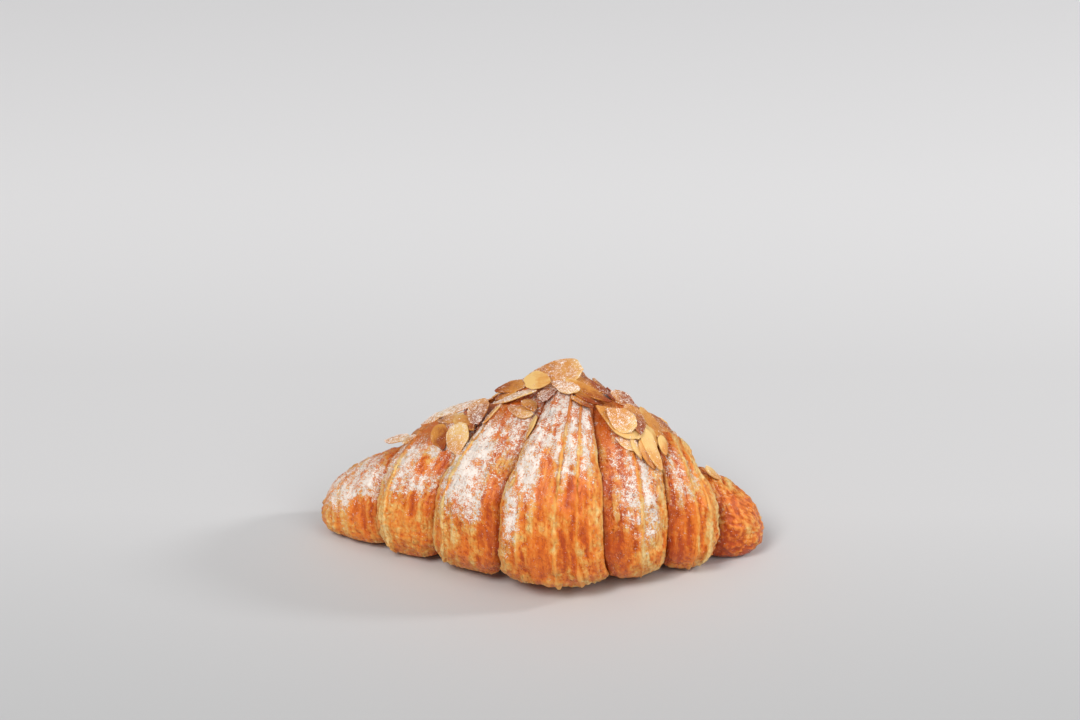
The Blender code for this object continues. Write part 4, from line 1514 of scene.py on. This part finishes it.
# %% A fine flake
FINE_SIDES = 40
FACE_SHARES = (0.25, 0.5, 0.72, 0.87, 0.95, 0.985)
EDGE_NOISE = 0.14
NICK_NOISE = 0.07
WARP = 0.5
WARP_SIZE = 7.0
SLICE_THICKNESS = 0.55  # the real slice, which is the upper part of the solid's thicker slab
RIM_CHAMFER = 0.8  # the upright part of its edge, as a share of the thickness
LEVELS = [(share, 1.0) for share in FACE_SHARES] + [(1.0, RIM_CHAMFER)]
LEVELS += [(share, -side) for share, side in reversed(LEVELS)]


def fine_flake(flake, number):
    """A flake's points in its own frame, and how near the rim each point is."""
    angle = np.linspace(0.0, 2.0 * math.pi, FINE_SIDES, endpoint=False)
    rim = np.stack([np.cos(angle), np.sin(angle), np.full(FINE_SIDES, number * 3.1)], axis=-1)
    uneven = 1.0 + EDGE_NOISE * noise_at(rim, (0.8, 0.8, 1.0))
    uneven += NICK_NOISE * noise_at(rim, (0.2, 0.2, 1.0))
    x = flake.length / 2 * np.cos(angle) * uneven
    y = flake.width / 2 * np.sin(angle) * np.sin(angle / 2.0) ** FLAKE_POINT * uneven
    half = SLICE_THICKNESS / 2
    middle = FLAKE_THICKNESS / 2 - half
    rows = [np.array([[0.0, 0.0, middle + half]])]
    for share, side in LEVELS:
        level = np.full(FINE_SIDES, middle + side * half)
        rows.append(np.stack([x * share, y * share, level], axis=-1))
    rows.append(np.array([[0.0, 0.0, middle - half]]))
    points = np.concatenate(rows)
    shares = np.repeat([share for share, _ in LEVELS], FINE_SIDES)
    near_rim = np.concatenate([[0.0], shares, [0.0]])
    flat = points * (1.0, 1.0, 0.0) + (0.0, 0.0, number * 9.7)
    points[:, 2] += -FLAKE_CUP * near_rim**2 + WARP * noise_at(flat, WARP_SIZE) * near_rim
    return points, near_rim


def fine_flake_faces():
    """The faces of any fine flake: fans at both middles and quads between."""
    rows = len(LEVELS)
    last = 1 + (rows - 1) * FINE_SIDES
    found = []
    for k in range(FINE_SIDES):
        after = (k + 1) % FINE_SIDES
        found.append((0, 1 + k, 1 + after))
        for row in range(rows - 1):
            a, b = 1 + row * FINE_SIDES, 1 + (row + 1) * FINE_SIDES
            found.append((a + k, b + k, b + after, a + after))
        found.append((last + k, 1 + rows * FINE_SIDES, last + after))
    return found


FINE_FACES = fine_flake_faces()
print(f"a flake has {len(FINE_FACES)} faces")

# %% [markdown]
# Each almond slice has its own toast, so its colour goes from cream through gold to brown with
# that. The thin rim is painted a step paler than the face, as a painted highlight along the cut
# edge. Thin lines of the nut's grain run along its length. The sugar is the same as on the crust.
# A photograph of almonds could be laid on them, but these few nodes give every slice a pattern of
# its own.

# %% The flakes' finish
ALMOND_CREAM = linear(236, 194, 122)
ALMOND_GOLD = linear(214, 142, 62)
ALMOND_BROWN = linear(150, 64, 20)
GOLD_RAMP = (0.0, 0.6)  # from cream to gold over this much toast, and on to brown over that much
BROWN_RAMP = (0.55, 1.15)
BLOTCH_SIZE = 3.0
TOAST_LEVEL = -0.55
# Painted highlight: the rim is made a step paler than the face.
RIM_PAINTED_HIGHLIGHT = -0.2
BLOTCH_TOAST = 0.8
LINE_TOAST = 0.5
ALMOND_SPECKLE = 0.36
ALMOND_VEIL = 0.2
ALMOND_ROUGHNESS = 0.42
ALMOND_SHINE = 0.3
ALMOND_BUMP = 0.15


def almond_material():
    """Toasted almond, from cream to brown, with sugar on it."""
    material, tree, shader = new_material("toasted almond")
    place = object_place(tree)
    lines = noise_node(tree, from_mesh(tree, "grain", "Vector"), 1.0)
    blotch = noise_node(tree, place, BLOTCH_SIZE * MM)
    toast = math_node(tree, "ADD", from_mesh(tree, "toast"), TOAST_LEVEL)
    parts = ((from_mesh(tree, "rim"), RIM_PAINTED_HIGHLIGHT), (blotch, BLOTCH_TOAST), (lines, LINE_TOAST))
    toast = weighted(tree, toast, parts)
    colour = mix_colour(tree, ramp(tree, toast, *GOLD_RAMP), ALMOND_CREAM, ALMOND_GOLD)
    colour = mix_colour(tree, ramp(tree, toast, *BROWN_RAMP), colour, ALMOND_BROWN)
    sugar = from_mesh(tree, "sugar")
    cover = sugar_cover(tree, place, sugar, ALMOND_SPECKLE)
    colour = mix_colour(tree, math_node(tree, "MULTIPLY", sugar, ALMOND_VEIL), colour, SUGAR_VEIL)
    colour = mix_colour(tree, cover, colour, SUGAR_WHITE)
    rough = weighted(tree, ALMOND_ROUGHNESS, ((cover, 0.4),))
    normal = bump(tree, weighted(tree, lines, ((cover, 0.6),)), ALMOND_BUMP, strength=0.5)
    fill(tree, shader, (("Base Color", colour), ("Roughness", rough), ("Normal", normal)))
    fill(tree, shader, (("Specular IOR Level", ALMOND_SHINE),))
    return material


almond_look = almond_material()
print(f"{almond_look.name}: {len(almond_look.node_tree.nodes)} nodes")

# %% Build the flakes
NUT_LINES = (0.35, 2.2, 1.0)  # how the nut's grain is drawn out along the slice
TIP_TOAST = 0.7  # how much browner the pointed end is than the round one
SIDE_TOAST = 0.6
RIM_SHARPNESS = 9
FLAKE_SUGAR_MOST = 0.7

tones = random.Random(TONE_SEED)
flake_points, flake_faces = [], []
flake_numbers = {"toast": [], "rim": [], "sugar": [], "grain": []}
for number, (flake, matrix) in enumerate(zip(FLAKES, laid)):
    points, near_rim = fine_flake(flake, number)
    first = number * len(points)
    flake_faces += [tuple(first + k for k in face) for face in FINE_FACES]
    turned_flake = np.array(matrix.to_3x3())
    flake_points.append(points @ turned_flake.T + np.array(matrix.translation))
    up = max(0.0, turned_flake[2, 2])
    top_side = np.arange(len(points)) <= FINE_SIDES * (len(LEVELS) // 2)
    lean = tones.uniform(-SIDE_TOAST, SIDE_TOAST)
    toast = flake.toast + TIP_TOAST * points[:, 0] / flake.length + lean * points[:, 1] / flake.width
    fallen = flake.sugar * np.where(top_side, min(FLAKE_SUGAR_MOST, up), 0.0)
    flake_numbers["toast"].append(toast)
    flake_numbers["rim"].append(near_rim**RIM_SHARPNESS)
    flake_numbers["sugar"].append(fallen)
    flake_numbers["grain"].append(points * NUT_LINES + (number * 13.0, 0, 0))
flake_points = np.concatenate(flake_points)
flake_numbers = {label: np.concatenate(rows) for label, rows in flake_numbers.items()}
flakes = mesh_from("almond_flakes", flake_points, flake_faces, flake_numbers, almond_look)
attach(flakes, "root")
print(f"the flakes have {len(flake_faces)} faces")

# %% [markdown]
# ## Grains of icing sugar
#
# Icing sugar clumps into crumbs of up to a millimetre, which catch the light and throw tiny
# shadows that paint alone can't give. So on top of the painted sugar lie thousands of small
# lumps. Each is a rough ball with few faces, flattened onto the surface. They are drawn by
# chance from the points where sugar fell, more of them where it lies thick.

# %% A grain of sugar
GRAIN_FLAT = 0.62
GRAIN_STRETCHES = (0.7, 1.5)
GRAIN_ROUGH = 0.25  # how far each corner is moved in or out, as a share


def ball(subdivisions):
    """A rough ball of radius 1: its points and its triangles."""
    shape = bmesh.new()
    if subdivisions:
        bmesh.ops.create_icosphere(shape, subdivisions=subdivisions, radius=1.0)
    else:
        bmesh.ops.create_uvsphere(shape, u_segments=4, v_segments=2, radius=1.0)
    points = np.array([tuple(vert.co) for vert in shape.verts])
    triangles = np.array([[vert.index for vert in face.verts] for face in shape.faces])
    shape.free()
    return points, triangles


def grains(draw, template, places, ways_out, sizes):
    """Copies of a ball, each turned, stretched and flattened at its own place."""
    points, triangles = template
    side = np.cross(ways_out, draw.normal(size=places.shape))
    side /= np.linalg.norm(side, axis=1, keepdims=True)
    across = np.cross(ways_out, side)
    stretch = draw.uniform(*GRAIN_STRETCHES, (len(places), 1))
    jitter = 1.0 + draw.uniform(-GRAIN_ROUGH, GRAIN_ROUGH, (len(places), len(points), 1))
    local = points[None] * jitter
    moved = side[:, None] * local[..., 0:1] * stretch[:, None]
    moved = moved + across[:, None] * local[..., 1:2] / stretch[:, None]
    moved = moved + ways_out[:, None] * local[..., 2:3] * GRAIN_FLAT
    moved = places[:, None] + moved * sizes[:, None, None]
    index = triangles[None] + np.arange(len(places))[:, None, None] * len(points)
    return moved.reshape(-1, 3), index.reshape(-1, 3)


print(f"a coarse grain has {len(ball(1)[1])} faces and a fine one {len(ball(0)[1])}")

# %% Where grains can lie
CLOUD_SIZE = 2.4  # in mm; grains lie in clouds of about this size
CLOUD_DEPTH = 1.3
CLOUD_POWER = 1.5
GRAINS_FROM = 0.3  # thinner sugar than this has no grains
GRAIN_POWER = 1.2
CREAM_SPARES = 0.7
GRAIN_ON_FLAKES = 0.22

flake_out = np.zeros(len(flake_points) * 3, np.float32)
flakes.data.vertices.foreach_get("normal", flake_out)
flake_out = flake_out.reshape(-1, 3)
all_points = np.concatenate([POINT.reshape(-1, 3), flake_points])
all_out = np.concatenate([OUT.reshape(-1, 3), flake_out])
clouds = 0.5 + CLOUD_DEPTH * noise_at(all_points, CLOUD_SIZE, 6.0)
crust_chance = np.clip(SUGAR.ravel() - GRAINS_FROM, 0.0, 1.0) ** GRAIN_POWER
crust_chance *= 1.0 - CREAM_SPARES * CREAM.ravel()
crust_chance *= (1.0 - GRAIN_ON_FLAKES) / crust_chance.sum()
flake_chance = flake_numbers["sugar"] * np.clip(flake_out[:, 2] + 0.2, 0.0, 1.0)
flake_chance *= GRAIN_ON_FLAKES / max(flake_chance.sum(), 1e-9)
chance = np.concatenate([crust_chance, flake_chance]) * np.clip(clouds, 0.0, None) ** CLOUD_POWER
chance /= chance.sum()
print(f"grains can lie on {np.count_nonzero(chance)} of {len(chance)} points")

# %% Sugar grains
GRAIN_SEED = 8
GRAIN_KINDS = ((2600, 0.2, ball(1)), (17000, 0.13, ball(0)))  # how many, their radius in mm, shape
GRAIN_SPREAD = 0.32
GRAIN_SCATTER = 0.15

draw = np.random.default_rng(GRAIN_SEED)
grain_points, grain_faces, first = [], [], 0
for count, size, template in GRAIN_KINDS:
    chosen = draw.choice(len(chance), count, replace=False, p=chance)
    sizes = size * draw.lognormal(0.0, GRAIN_SPREAD, count)
    places = all_points[chosen] + draw.normal(scale=GRAIN_SCATTER, size=(count, 3))
    points, triangles = grains(draw, template, places, all_out[chosen], sizes)
    grain_points.append(points)
    grain_faces.append(triangles + first)
    first += len(points)
grain_points = np.concatenate(grain_points)
grain_faces = np.concatenate(grain_faces)
print(f"{sum(kind[0] for kind in GRAIN_KINDS)} grains, {len(grain_faces)} triangles")

# %% [markdown]
# A grain is the white of the painted sugar, with a warm tint in places, because it is so thin that
# the crust's colour shows through. Real scattering of light inside would cost much time and
# hardly show at this size.

# %% The sugar's finish
TINT_SIZE = 1.5
GRAIN_WHITE = 0.6  # how far it goes from the tinted colour to plain white
GRAIN_ROUGHNESS = 0.85
GRAIN_SHINE = 0.3


def sugar_material():
    """Matt white sugar, with a warm tint here and there."""
    material, tree, shader = new_material("icing sugar")
    shade = noise_node(tree, object_place(tree), TINT_SIZE * MM)
    colour = mix_colour(tree, shade, SUGAR_VEIL, SUGAR_WHITE)
    colour = mix_colour(tree, GRAIN_WHITE, colour, SUGAR_WHITE)
    finish = (("Roughness", GRAIN_ROUGHNESS), ("Specular IOR Level", GRAIN_SHINE))
    fill(tree, shader, (("Base Color", colour), *finish))
    return material


sugar = mesh_from("icing_sugar", grain_points, grain_faces.tolist(), {}, sugar_material())
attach(sugar, "root")
print("the sugar is on")
